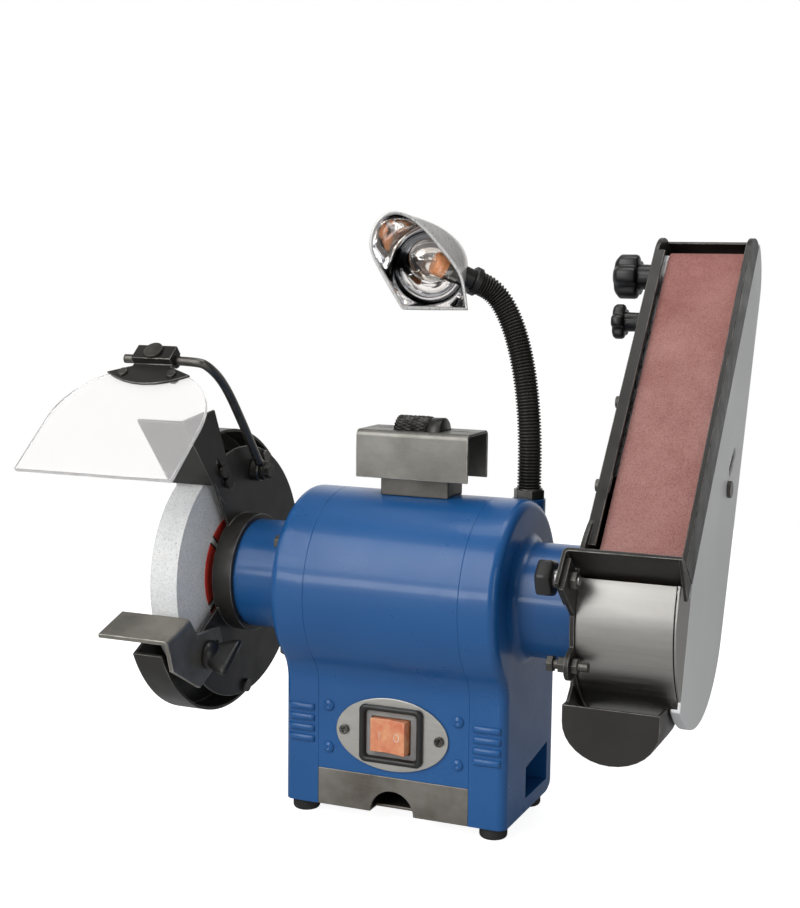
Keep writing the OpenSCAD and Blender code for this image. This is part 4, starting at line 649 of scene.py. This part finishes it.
# Base's front, switch with its marks, and panel rivets
BASE_FRONT = -38
SWITCH_Z = -89
BEZEL_OUT = 4.5
ROCKER_REST = -6
ROCKER_SLOPE = 9.1
MARK_AT = (6.25, -7.45)
MARK_R = 0.32
MARK_HALF = 2.5
MARK_STEP = 0.25
MARK_ROUND = (2, 2.4)
MARK_STEPS = 32
RIVET_AT = (45, 14)
RIVET_R = 3.9
RIVET_RISE = 1.8

# Front ribs; each end is given as (distance from the end, share of the full height)
RIB_X = (55.2, 73.5)
RIB_COUNT = 4
RIB_LOW = -9.75
RIB_PITCH = 7
RIB_HALF = 2.3
RIB_OUT = 1.9
RIB_ROOT = 1
RIB_ENDS = [(0, 0.3), (0.5, 0.75), (1.6, 1)]

# Blends of the end covers
SHELL_R = 63
COVER_X = 77
EDGE_R = 6
BLEND_R = 25
BLEND_DEPTH = 11
BLEND_OVER = 1
BLEND_STEPS = 24

# Cheek beside the drum, in the arm's frame; its depths count from the side cover's face
CHEEK_R = 64
CHEEK_FRONT = 38
CHEEK_FOOT_SHARE = 0.15
CHEEK_LOW = 70.5
CHEEK_FROM = -14
CHEEK_TO = -82
CHEEK_STEPS = 32
CHEEK_LAP = 1
CHEEK_BACK = 1.8
CHEEK_EDGE = 0.8
CHEEK_FACE = 0.3
CHEEK_BEVEL = 0.5

# Rod of the eye shield; its rounded tip is given as (distance from the end, cut of the radius)
ROD_R = 3
ROD_LEVEL = 60
ROD_PASSES = 4
ROD_TIP = [(1.2, 0), (0.4, 0.1), (0, 0.9)]
EYE_R = 7.5
EYE_BORE = 3.15
EYE_WIDTH = 6.4
EYE_EDGE = 0.6

# Tension spring
SPRING_LEN = 26
SPRING_R = 2
SPRING_WIRE_R = 0.55
SPRING_TURNS = 10
SPRING_STEPS = 20

# Dresser roller: axle stubs, and the knurl's teeth, twist and depth as a share of the radius
ROLLER_STUB = 5
STUB_R = 3
KNURL_R = 12
KNURL_LEN = 22.5
KNURL_TEETH = 14
KNURL_TWIST = 0.5
KNURL_DEPTH = 0.17
KNURL_ROUND = 0.8
KNURL_RINGS = 41
KNURL_STEP = 0.55


def goose_point(t):
    """Point of the gooseneck's middle line, a straight run at each end and one curve between."""
    base, end, inward = Vector(GOOSE_BASE), Vector(GOOSE_END), GOOSE_IN.normalized()
    if t < GOOSE_SHARE:
        return base + Vector((0, 0, GOOSE_RUN * t / GOOSE_SHARE))
    if t > 1 - GOOSE_TIP_SHARE:
        return end + inward * GOOSE_TIP * (1 - t) / GOOSE_TIP_SHARE
    u = (t - GOOSE_SHARE) / (1 - GOOSE_SHARE - GOOSE_TIP_SHARE)
    a, d = base + Vector((0, 0, GOOSE_RUN)), end + inward * GOOSE_TIP
    return ((1 - u) ** 3 * a + 3 * (1 - u) ** 2 * u * (a + GOOSE_OUT)
            + 3 * (1 - u) * u * u * (d + GOOSE_REACH * GOOSE_IN) + u ** 3 * d)


def goose_path(steps):
    """Points at even distances along the gooseneck's middle line."""
    fine = [goose_point(i / steps) for i in range(steps + 1)]
    run = [0.0]
    for p, q in zip(fine, fine[1:]):
        run.append(run[-1] + (q - p).length)
    path = []
    k = 0
    for i in range(steps + 1):
        target = run[-1] * i / steps
        while k < steps - 1 and run[k + 1] < target:
            k += 1
        path.append(fine[k].lerp(fine[k + 1], (target - run[k]) / (run[k + 1] - run[k])))
    return path


def make_gooseneck():
    """Sleeve of rounded ribs along the gooseneck's middle line."""
    steps = GOOSE_RIB_STEPS * GOOSE_RIBS
    radii = [GOOSE_R - GOOSE_GROOVE * abs(math.cos(math.pi * i / GOOSE_RIB_STEPS)) ** 3
             for i in range(steps + 1)]
    rings = tube(frame_at(SHAFT, SQUARE), goose_path(steps), radii, 24)
    sleeve = add_piece("gooseneck_sleeve", rings, ["sleeve"], None, ["gooseneck"], sharp=80)
    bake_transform(sleeve)


def shade_ring(share, depth):
    """Ring between the shade's front outline, at share 0, and its round back, at share 1."""
    corners = [Vector(p) for p in SHADE_OUTLINE]
    ring = []
    for k in range(SHADE_STEPS):
        a = math.tau * k / SHADE_STEPS
        ray = Vector((math.cos(a), math.sin(a)))
        hit = 0
        for p, q in zip(corners, corners[1:] + corners[:1]):
            edge, start = q - p, p - SHADE_HEART
            cross = ray.x * edge.y - ray.y * edge.x
            if abs(cross) > NEAR_ZERO:
                along = (start.x * edge.y - start.y * edge.x) / cross
                at = (start.x * ray.y - start.y * ray.x) / cross
                if along > 0 and 0 <= at <= 1:
                    hit = max(hit, along)
        front = SHADE_HEART + ray * hit
        back = Vector((SHADE_BACK.x, SHADE_BACK.z)) + ray * SHADE_R
        point = front.lerp(back, share) + ray * SHADE_SWELL * max(ray.y, 0) * math.sin(math.pi * share)
        ring.append(Vector((point.x, depth, point.y)))
    return smooth_ring(ring)


def smooth_ring(ring, passes=8):
    """Round the upper part of a ring; its two lower corners stay tight."""
    for _ in range(passes):
        rounded = [(ring[k - 1] + 2 * ring[k] + ring[(k + 1) % len(ring)]) / 4 for k in range(len(ring))]
        ring = [q if q.z > SHADE_CORNER_Z else p for p, q in zip(ring, rounded)]
    return ring


def make_shade():
    """Lamp shade with a domed back and a rolled rim, satin outside and chrome inside."""
    outer, inner, rim = [], [], []
    for i in range(SHADE_RINGS + 1):
        share = i / SHADE_RINGS
        depth = SHADE_FRONT + share * (SHADE_BACK.y - SHADE_FRONT)
        outer.append(shade_ring(math.sin(share * math.pi / 2) ** SHADE_BULGE, depth))
    flat = [p - SHADE_BACK for p in outer[-1]]
    for i in range(1, DOME_RINGS + 1):
        a = math.radians(DOME_STEP * i)
        outer.append([SHADE_BACK + Vector((p.x * math.cos(a), SHADE_R * math.sin(a), p.z * math.cos(a)))
                      for p in flat])
    for ring in outer:
        heart = sum(ring, Vector()) / len(ring)
        inward = [heart.lerp(Vector((SHADE_BACK.x, p.y, SHADE_BACK.z)), 0.5) - p for p in ring]
        inner.append([p + toward.normalized() * SHADE_WALL for p, toward in zip(ring, inward)])
    inner[-1] = [p + Vector((0, -SHADE_WALL, 0)) for p in inner[-1]]
    heart = sum(outer[0], Vector()) / len(outer[0])
    for k in range(RIM_STEPS + 1):
        a = math.pi * (0.5 + k / RIM_STEPS * RIM_HALF_TURNS)
        grow, ahead = RIM_R * math.cos(a) + RIM_OUT, RIM_R * math.sin(a) - RIM_BACK
        rim.append([p + (p - heart).normalized() * grow + Vector((0, ahead, 0)) for p in outer[0]])
    place = frame_at(at_shaft(*SHADE_MID), Matrix.Rotation(math.radians(SHADE_YAW), 3, "Z"))
    rings = outer[::-1] + rim[::-1] + inner
    add_piece("chrome_shade", [[place @ p for p in ring] for ring in rings], ["shade_satin", "chrome"],
              "lamp_head", ["lamp_shade"], change_at=[len(outer) + len(rim) - 1], sharp=60)


def make_bulb():
    """Lamp socket, clear bulb and its filament, in line with the gooseneck's end."""
    place = frame_at(at_shaft(*GOOSE_END), (-GOOSE_IN).to_track_quat("X", "Z").to_matrix())
    socket = turned(place, [
        (0.3, 3), (0.3, 8.6), (0.9, 9.5), (4.4, 9.5), (5.1, 8.8), (5.2, 6.9), (16, 6.9), (16.6, 7.6),
        (25.6, 7.6), (32.6, 7.6), (33.8, 6.8), (34, 2)])
    add_piece("socket_body", socket, ["plastic", "bolt_steel", "resin"], "lamp_head", ["lamp_socket"],
              change_at=[7, 8])
    globe = [(22.2, 9), (23.4, 9.2), (24.8, 9.8)]
    globe += domed(BULB_MID, BULB_R, BULB_R, range(-41, 86, 7)) + [(51.4, 1.2)]
    hollow = [(x - 0.4, r - BULB_WALL) for x, r in globe[::-1]]
    glass = turned(place, [(x, max(r, 0.3)) for x, r in globe + hollow])
    add_piece("glass_globe", glass, ["glass"], "lamp_head", ["lamp_bulb"], loop=True)
    coil = [Vector((COIL_MID + COIL_R * math.sin(COIL_RADIANS * i), i * COIL_STEP - COIL_HALF,
                    COIL_R * math.cos(COIL_RADIANS * i))) for i in range(81)]
    first = [Vector((x, -y, 0)) for x, y in COIL_LEADS]
    last = [Vector((x, y, 0)) for x, y in COIL_LEADS[::-1]]
    wire = tube(place, first + coil + last, 0.3, 6)
    add_piece("lamp_filament", wire, ["steel"], "lamp_head")


def arm_knob(name, stations, outline, stem_from, steps=80):
    """Knob of the sander arm; its steel stem starts at the ring stem_from."""
    rings = turned(on_axis(f"{name}_turn", ARM_TURN), stations, steps, outline)
    add_piece(f"{name}_grip", rings, ["plastic", "steel"], name, [name], change_at=[stem_from])


def make_arm_knobs():
    """Lobed and six-sided knobs of the sander arm."""
    x = SHEET_X
    tip = x - TENSION_KNOB_OUT
    arm_knob("tension_knob", [
        (tip + 2, 2), (tip + 2, 5.4), (tip + 0.3, 6.6), (tip, 7.4), (tip, 11.2, 0.7), (tip + 0.8, 12.6, 0.9),
        (tip + 3, 15, 1), (tip + 4.2, 15.5, 1), (tip + 13.8, 15.5, 1), (tip + 15.4, 14.9, 1),
        (tip + 16, 13.8, 1), (tip + 16, 9.6, 0.3), (tip + 16.4, 8.7), (x - 1.2, 8.5), (x - 0.4, 7.8),
        (x - 0.4, 4), (x + 7.4, 4)], lobes(KNOB_LOBES, 0.2, KNOB_RADIANS), 14)
    tip = x - TRACKING_KNOB_OUT
    arm_knob("tracking_knob", [
        (tip + 1.4, 1.5), (tip + 1.4, 4), (tip, 5), (tip, 9.4, 0.9), (tip + 0.7, 11, 1), (tip + 2.2, 12, 1),
        (tip + 6.4, 12, 1), (tip + 7.6, 11.3, 1), (tip + 8.2, 10.2, 1), (tip + 8.2, 7.2, 0.2),
        (tip + 8.8, 6.6), (tip + 17.6, 6.4), (tip + 18.5, 5.6), (tip + 18.5, 3), (x + 3, 3)],
        lobes(KNOB_LOBES, 0.27, KNOB_RADIANS), 13)
    tip = x - BELT_REST_KNOB_OUT
    arm_knob("belt_rest_knob", [
        (tip + 1, 1.5), (tip + 1, 4.5), (tip, 5.6, 0.2), (tip, 9.6, 0.8), (tip + 0.9, 11.4, 1),
        (tip + 2, 12, 1), (tip + 8, 12, 1), (tip + 9.3, 11.2, 1), (tip + 10, 9.6, 0.8), (tip + 10, 5.5),
        (x - 2.9, 5.5), (x - 2.9, 3), (x + 8, 3)], facets(KNOB_FLATS, 0.5), 9, 72)


def make_tool_rest_knob():
    """Domed knob of the tool rest, with one flat wing across it."""
    low, high = (c.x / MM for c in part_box("tool_rest_knob"))
    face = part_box("tool_rest")[1].x / MM + KNOB_GAP
    place = on_axis("tool_rest_knob_turn", Matrix.Rotation(math.radians(WING_TURN), 3, "X"))
    dome = domed(face, KNOB_DOME, KNOB_R, range(12, 90, 9))
    add_piece("tool_rest_knob_dome", turned(place, [(low, 3), (face, 3), (face, 9.4)] + dome),
              ["steel", "plastic"], "tool_rest_knob", ["tool_rest_knob"], change_at=[1])
    wing = []
    for i in range(WING_RINGS + 1):
        share = i / WING_RINGS
        x = face + WING_ROOT + share * (high - face - WING_ROOT)
        half = WING_HALF + WING_SPREAD * math.sin(share * math.pi / 2)
        thick = WING_THICK - WING_TAPER * share
        if i == WING_RINGS:
            half, thick = half - WING_EDGE[0], thick - WING_EDGE[1]
        ring = []
        for k in range(WING_SIDES):
            a = math.tau * k / WING_SIDES
            across, through = math.cos(a), math.sin(a)
            ring.append(place @ Vector((x, half * math.copysign(abs(across) ** 0.45, across),
                                        thick * math.copysign(abs(through) ** 0.7, through))))
        wing.append(ring)
    add_piece("tool_rest_knob_wing", wing, ["plastic"], "tool_rest_knob", sharp=50)


def make_switch():
    """Rounded bezel whose recess wall round the rocker is grey as a painted highlight, and the rocker's
    marks.
    """
    place = frame_at(at_shaft(0, 0, SWITCH_Z), SQUARE)
    front = BASE_FRONT - BEZEL_OUT
    rings = [round_box(place, *station) for station in (
        (17.9, 15.4, 1.5, BASE_FRONT + 20), (17.9, 15.4, 1.5, front + 3.2), (21.8, 19, 4.2, front + 3),
        (21.8, 19, 4.2, front + 1.2), (21.4, 18.6, 4, front + 0.4), (20.6, 17.8, 3.6, front),
        (19.2, 16.6, 3, front), (18.4, 15.8, 2.6, front + 0.4), (18, 15.4, 2.4, front + 1.2),
        (17.4, 14.8, 2.2, front + 3), (17, 14.4, 2, front + 2.9), (13.9, 11.9, 1, front + 2.5),
        (13.4, 11.5, 0.9, front + 2.9), (13.35, 11.45, 0.8, front + 3.6), (13.3, 11.4, 0.8, BASE_FRONT + 7))]
    # strips 9 to 11, the recess wall round the rocker, are grey as a painted highlight
    add_piece("switch_frame", rings, ["plastic", "lit_recess", "plastic"], "motor", ["switch_bezel"],
              change_at=[9, 12])
    axis = joints["switch_rock"]["pos_m"]
    turns = [math.tau * i / MARK_STEPS for i in range(MARK_STEPS + 1)]
    bar = [Vector((0, 0, MARK_STEP * i - MARK_HALF)) for i in range(21)]
    circle = [Vector((MARK_ROUND[0] * math.cos(a), 0, MARK_ROUND[1] * math.sin(a))) for a in turns]
    for name, side, path in (("on", -1, bar), ("off", 1, circle)):
        spot = (Matrix.Translation(axis) @ Matrix.Rotation(math.radians(ROCKER_REST), 4, "Z")
                @ Matrix.Scale(MM, 4) @ Matrix.Translation((side * MARK_AT[0], MARK_AT[1], 0))
                @ Matrix.Rotation(-side * math.radians(ROCKER_SLOPE), 4, "Z"))
        add_piece(f"rocker_mark_{name}", tube(spot, path, MARK_R, 8), ["mark"], "switch_rocker")


def make_rivets():
    """Domed rivets with a dimple, at the corners of the switch panel."""
    out = Matrix.Rotation(math.radians(-90), 3, "Z")
    dome = domed(0.1, RIVET_RISE, RIVET_R, range(5, 66, 10))
    stations = [(-5, 1.5), (-0.1, 1.5), (-0.1, 3.6)] + dome + [(1.55, 1.3), (1.25, 0.8), (1.2, 0.2)]
    for side, hand in HANDS:
        for rise, level in ((-1, "low"), (1, "high")):
            spot = frame_at(at_shaft(side * RIVET_AT[0], BASE_FRONT, SWITCH_Z + rise * RIVET_AT[1]), out)
            add_piece(f"panel_rivet_{hand}_{level}", turned(spot, stations, 28), ["blue"], "motor",
                      ["panel_screws"])


def make_ribs():
    """Rounded ribs on the front corners of the base."""
    place = frame_at(SHAFT, SQUARE)
    near, far = RIB_X
    stations = [(near + d, share) for d, share in RIB_ENDS]
    stations += [(far - d, share) for d, share in RIB_ENDS[::-1]]
    arc = [math.radians(a) for a in range(-90, 91, 15)]
    for side, hand in HANDS:
        for i in range(RIB_COUNT):
            z = SWITCH_Z + RIB_LOW + i * RIB_PITCH
            rings = []
            for x, share in stations:
                ring = [(BASE_FRONT - RIB_OUT * share * math.cos(a), z + RIB_HALF * math.sin(a))
                        for a in arc]
                ring += [(BASE_FRONT + RIB_ROOT, z + RIB_HALF * end) for end in (1, -1)]
                rings.append([place @ Vector((side * x, *p)) for p in ring])
            add_piece(f"front_rib_{hand}_{i + 1}", rings, ["blue"], "motor")


def make_blends():
    """Rounded edge of each end cover along the hollow between the shell and the base's front."""
    place = frame_at(SHAFT, SQUARE)
    from_axis = SHELL_R + BLEND_R
    across = BASE_FRONT - BLEND_R
    heart = Vector((across, -math.sqrt(from_axis ** 2 - across ** 2)))
    sweep = math.degrees(math.atan2(-heart.y, -heart.x))
    quarter = [math.radians(a) for a in range(0, 91, 10)]
    edge = [(EDGE_R * (1 - math.cos(a)), COVER_X - EDGE_R * (1 - math.sin(a))) for a in quarter]
    behind = COVER_X - EDGE_R - 1
    edge += [(BLEND_DEPTH, COVER_X - 0.02), (BLEND_DEPTH, behind), (0.6, behind)]
    for side, hand in HANDS:
        rings = []
        for i in range(BLEND_STEPS + 1):
            a = math.radians(-BLEND_OVER + i / BLEND_STEPS * (sweep + 2 * BLEND_OVER))
            rings.append([place @ Vector((side * x, heart.x + (BLEND_R + inset) * math.cos(a),
                                          heart.y + (BLEND_R + inset) * math.sin(a))) for inset, x in edge])
        add_piece(f"cover_blend_{hand}", rings, ["blue"], "motor")


def make_cheek():
    """Plate that closes the side between the drum guard's round edge and the side cover's slanted front."""
    place = frame_at(SHAFT, ARM_TURN)
    face = (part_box("sander_side_cover")[1].x - SHAFT.x) / MM
    back, edge, front = face - CHEEK_BACK, face - CHEEK_EDGE, face - CHEEK_FACE
    top, foot = Vector((-CHEEK_FRONT, 0)), Vector((-CHEEK_FOOT_SHARE * CHEEK_FRONT, -CHEEK_LOW))
    fall = foot - top
    rings = []
    for i in range(CHEEK_STEPS + 1):
        a = math.radians(CHEEK_FROM + (CHEEK_TO - CHEEK_FROM) * i / CHEEK_STEPS)
        ray = Vector((-math.cos(a), math.sin(a)))
        to_cover = (top.x * fall.y - top.y * fall.x) / (ray.x * fall.y - ray.y * fall.x)
        inner = min(to_cover, CHEEK_R - CHEEK_LAP) - CHEEK_LAP
        rings.append([place @ Vector((x, ray.x * r, ray.y * r)) for x, r in (
            (back, inner), (back, CHEEK_R), (edge, CHEEK_R), (front, CHEEK_R - CHEEK_BEVEL),
            (front, inner))])
    add_piece("cover_cheek", rings, ["guard_steel"], "sander_arm")


def make_rod():
    """Smoothly bent rod of the eye shield, and its eye round the pivot bolt."""
    pivot, end = (Vector(joints[name]["pos_m"]) / MM for name in ("shield_rod_swing", "eye_shield_tilt"))
    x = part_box("shield_rod")[0].x / MM + ROD_LEVEL
    path = [Vector(p) for p in (
        (x, pivot.y - 5, pivot.z + 6.3), (x, pivot.y - 27, pivot.z + 34), (x, pivot.y - 52, pivot.z + 63),
        (x, end.y + 4, end.z - 3), (x - 7, end.y, end.z), (x - ROD_LEVEL, end.y, end.z))]
    for _ in range(ROD_PASSES):
        cut = [path[0]]
        for p, q in zip(path, path[1:]):
            cut += [p.lerp(q, 0.25), p.lerp(q, 0.75)]
        path = cut + [path[-1]]
    tip = path.pop()
    radii = [ROD_R] * len(path)
    for back, slim in ROD_TIP:
        path.append(tip + Vector((back, 0, 0)))
        radii.append(ROD_R - slim)
    add_piece("bent_rod", tube(Matrix.Scale(MM, 4), path, radii, 20), ["bolt_steel"], "shield_rod",
              ["shield_rod"], sharp=60)
    first, shoulder = x - EYE_WIDTH, EYE_R - EYE_EDGE
    eye = turned(frame_at(Vector((0, pivot.y, pivot.z)) * MM, SQUARE), [
        (first, EYE_BORE), (first, shoulder), (first + EYE_EDGE, EYE_R), (x - EYE_EDGE, EYE_R),
        (x, shoulder), (x, EYE_BORE)])
    add_piece("rod_eye", eye, ["bolt_steel"], "shield_rod", loop=True)


def make_spring():
    """Coil that is pressed between the arm's ledge and the idler carriage."""
    low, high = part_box("tension_spring")
    middle = (low + high) / 2
    count = SPRING_STEPS * SPRING_TURNS
    half = SPRING_LEN / 2 - SPRING_WIRE_R
    path = []
    for i in range(count + 1):
        a = math.tau * i / SPRING_STEPS
        path.append(Vector((SPRING_R * math.cos(a), SPRING_R * math.sin(a), half * (2 * i / count - 1))))
    rings = tube(frame_at(middle, ARM_TURN), path, SPRING_WIRE_R, 8)
    coil = add_piece("tension_coil", rings, ["steel"], None, ["tension_spring"], sharp=80)
    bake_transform(coil)


def make_dresser_roller():
    """Roller with a coarse crossed knurl on its left and a plain right end."""
    low, high = (c.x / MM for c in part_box("dresser_roller"))
    left, right = low + ROLLER_STUB, high - ROLLER_STUB
    plain = left + KNURL_LEN

    def knurl(a, x):
        twist = KNURL_TWIST * x
        one, other = (abs(math.sin(KNURL_TEETH * a + b)) ** KNURL_ROUND for b in (twist, -twist))
        return KNURL_DEPTH * one * other

    stations = [(low, STUB_R), (left, STUB_R), (left, 10.4)]
    stations += [(left + 0.2 + i * KNURL_STEP, KNURL_R, 1) for i in range(KNURL_RINGS)]
    knurl_stop = len(stations)
    stations += [(plain + 0.4, 10.2), (plain + 0.8, 11), (right - 0.6, 11.2), (right, 10.6), (right, STUB_R),
                 (high, STUB_R)]
    rings = turned(on_axis("dresser_roller_spin", SQUARE), stations, 168, knurl)
    add_piece("knurled_roller", rings, ["dark_steel", "knurl", "dark_steel"], "dresser_roller",
              ["dresser_roller"], change_at=[2, knurl_stop], sharp=70)


# Rounding of CAD nodes: curved ones, ones whose edges wear and are lighter as a painted highlight, and the
# edges' widths in millimetres
WELD_GAP = 0.02
FLAT_ANGLE = 0.8
SHARP_ANGLE = 33
CURVED = ["left_end_cover", "right_end_cover"]
WORN_AND_LIT_EDGES = {
    "black_edge_wear_and_highlight": FINISH["black"],
    "rest_edge_wear_and_highlight": ["tool_rest", "dresser_channel"],
}
EDGES = {
    1.0: ["dresser_holder", "rubber_feet"],
    0.25: CURVED,
    0.5: FINISH["black"] + ["sander_side_cover", "tool_rest", "dresser_channel", "base_channel",
                            "switch_rocker", "eye_shield", "belt_platen", "switch_plate"],
    0.4: ["motor_shell", "sander_screws", "guard_screws", "shield_screws", "switch_screws", "tie_bolts",
          "lamp_base_nut", "guard_spacer_bolts", "drum_guard", "shaft_nuts", "wheel_flanges", "cable_gland"],
}


def soften(name, width):
    """Round a CAD node's sharp edges with modifiers; its mesh stays as it is. Where the finish wears, the
    new faces take the node's second material, which is also lighter as a painted edge highlight."""
    node = nodes[name]
    node.data.shade_smooth()
    weld = node.modifiers.new("weld", "WELD")
    weld.merge_threshold = WELD_GAP * MM
    if name not in CURVED:
        flat = node.modifiers.new("flat", "DECIMATE")
        flat.decimate_type = "DISSOLVE"
        flat.angle_limit = math.radians(FLAT_ANGLE)
    bevel = node.modifiers.new("edge", "BEVEL")
    bevel.limit_method = "ANGLE"
    bevel.angle_limit = math.radians(SHARP_ANGLE)
    bevel.width = width * MM
    bevel.segments = 3
    bevel.use_clamp_overlap = False
    # bevelled edges take the lighter edge material: wear plus a painted highlight
    for edge, names in WORN_AND_LIT_EDGES.items():
        if name in names:
            node.data.materials.append(MATERIALS[edge])
            bevel.material = 1
    shade = node.modifiers.new("shade", "WEIGHTED_NORMAL")
    shade.keep_sharp = True
    shade.weight = 90


def make_camera():
    """Camera at the photograph's viewpoint, and colours shown as they are."""
    data = bpy.data.cameras.new("photo_camera")
    data.sensor_width = SENSOR
    data.lens = FOCAL_PIXELS / IMAGE_LONG_SIDE * SENSOR
    data.clip_start = 0.01
    data.clip_end = 100
    camera = bpy.data.objects.new("photo_camera", data)
    bpy.context.scene.collection.objects.link(camera)
    ahead = Vector((-math.sin(CAMERA_YAW) * math.cos(CAMERA_PITCH),
                    math.cos(CAMERA_YAW) * math.cos(CAMERA_PITCH), -math.sin(CAMERA_PITCH)))
    right = Vector((math.cos(CAMERA_YAW), math.sin(CAMERA_YAW), 0))
    up = right.cross(ahead)
    right, up = (right * math.cos(CAMERA_ROLL) + up * math.sin(CAMERA_ROLL),
                 up * math.cos(CAMERA_ROLL) - right * math.sin(CAMERA_ROLL))
    camera.matrix_world = Matrix.Translation(CAMERA_AT) @ Matrix((right, up, -ahead)).transposed().to_4x4()
    bpy.context.scene.camera = camera
    bpy.context.scene.view_settings.view_transform = "Standard"


def area_light(name, at, size, power):
    """Soft box that faces the shaft; its place and size are in metres, its power in watts."""
    data = bpy.data.lights.new(name, "AREA")
    data.shape = "RECTANGLE"
    data.size, data.size_y = size
    data.energy = power
    light = bpy.data.objects.new(name, data)
    bpy.context.scene.collection.objects.link(light)
    light.location = at
    light.rotation_mode = "QUATERNION"
    light.rotation_quaternion = (SHAFT - Vector(at)).to_track_quat("-Z", "Y")


def seen_or_lit(tree, seen, lit):
    """Strength of the floor or the surroundings: one value where they are seen, also through glass, and
    another where they light the object."""
    path = tree.nodes.new("ShaderNodeLightPath")
    direct = tree.nodes.new("ShaderNodeMath")
    direct.operation = "MAXIMUM"
    tree.links.new(path.outputs["Is Camera Ray"], direct.inputs[0])
    tree.links.new(path.outputs["Is Transmission Ray"], direct.inputs[1])
    choice = tree.nodes.new("ShaderNodeMix")
    tree.links.new(direct.outputs[0], choice.inputs["Factor"])
    set_input(tree, choice.inputs["A"], lit)
    set_input(tree, choice.inputs["B"], seen)
    return choice.outputs["Result"]


def make_floor():
    """Pale floor under the feet."""
    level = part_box("rubber_feet")[0].z
    left, right, near, far = -3.0, 3.0, -2.5, 1.2
    mesh = bpy.data.meshes.new("floor")
    corners = [(left, near, level), (right, near, level), (right, far, level), (left, far, level)]
    mesh.from_pydata(corners, [], [(0, 1, 2, 3)])
    floor = bpy.data.objects.new("floor", mesh)
    bpy.context.scene.collection.objects.link(floor)
    pale = Shader("pale_floor", (0.5, 0.5, 0.5, 1.0), 0.75, emission_color=(1, 1, 1, 1))
    pale.feed(base_color=pale.ramp(pale.noise(3, 2), (0.3, 0.48), (0.7, 0.52)),
              emission_strength=seen_or_lit(pale.tree, 0.9, 0.06))
    mesh.materials.append(pale.material)


def make_surroundings():
    """Surroundings that light the object from behind it and are dim behind the camera; they look white."""
    world = bpy.data.worlds.new("studio")
    world.use_nodes = True
    bpy.context.scene.world = world
    tree = world.node_tree
    direction = tree.nodes.new("ShaderNodeTexCoord").outputs["Generated"]
    facing = tree.nodes.new("ShaderNodeVectorMath")
    facing.operation = "DOT_PRODUCT"
    facing.inputs[1].default_value = (-math.sin(CAMERA_YAW), math.cos(CAMERA_YAW), 0)
    tree.links.new(direction, facing.inputs[0])
    shade = tree.nodes.new("ShaderNodeMapRange")
    shade.interpolation_type = "SMOOTHSTEP"
    for key, value in (("From Min", 0.7), ("From Max", 0.9), ("To Min", 0.22), ("To Max", 1.0)):
        shade.inputs[key].default_value = value
    tree.links.new(facing.outputs["Value"], shade.inputs["Value"])
    background = tree.nodes["Background"]
    background.inputs["Color"].default_value = (1, 1, 1, 1)
    tree.links.new(seen_or_lit(tree, 1.0, shade.outputs[0]), background.inputs["Strength"])


finish_nodes()
for width, names in EDGES.items():
    for name in names:
        soften(name, width)
make_gooseneck()
make_shade()
make_bulb()
make_arm_knobs()
make_tool_rest_knob()
make_switch()
make_rivets()
make_ribs()
make_blends()
make_cheek()
make_rod()
make_spring()
make_dresser_roller()
make_camera()
make_floor()
make_surroundings()
area_light("key", (-0.9, -1.5, 1.5), (1.5, 1.5), 27)
area_light("fill", (1.5, -1.2, 0.7), (0.5, 1.0), 4.5)
area_light("top", (0.0, 0.1, 1.9), (1.2, 0.7), 9)
area_light("strip", (-0.5, -1.5, 0.4), (0.7, 0.2), 4)
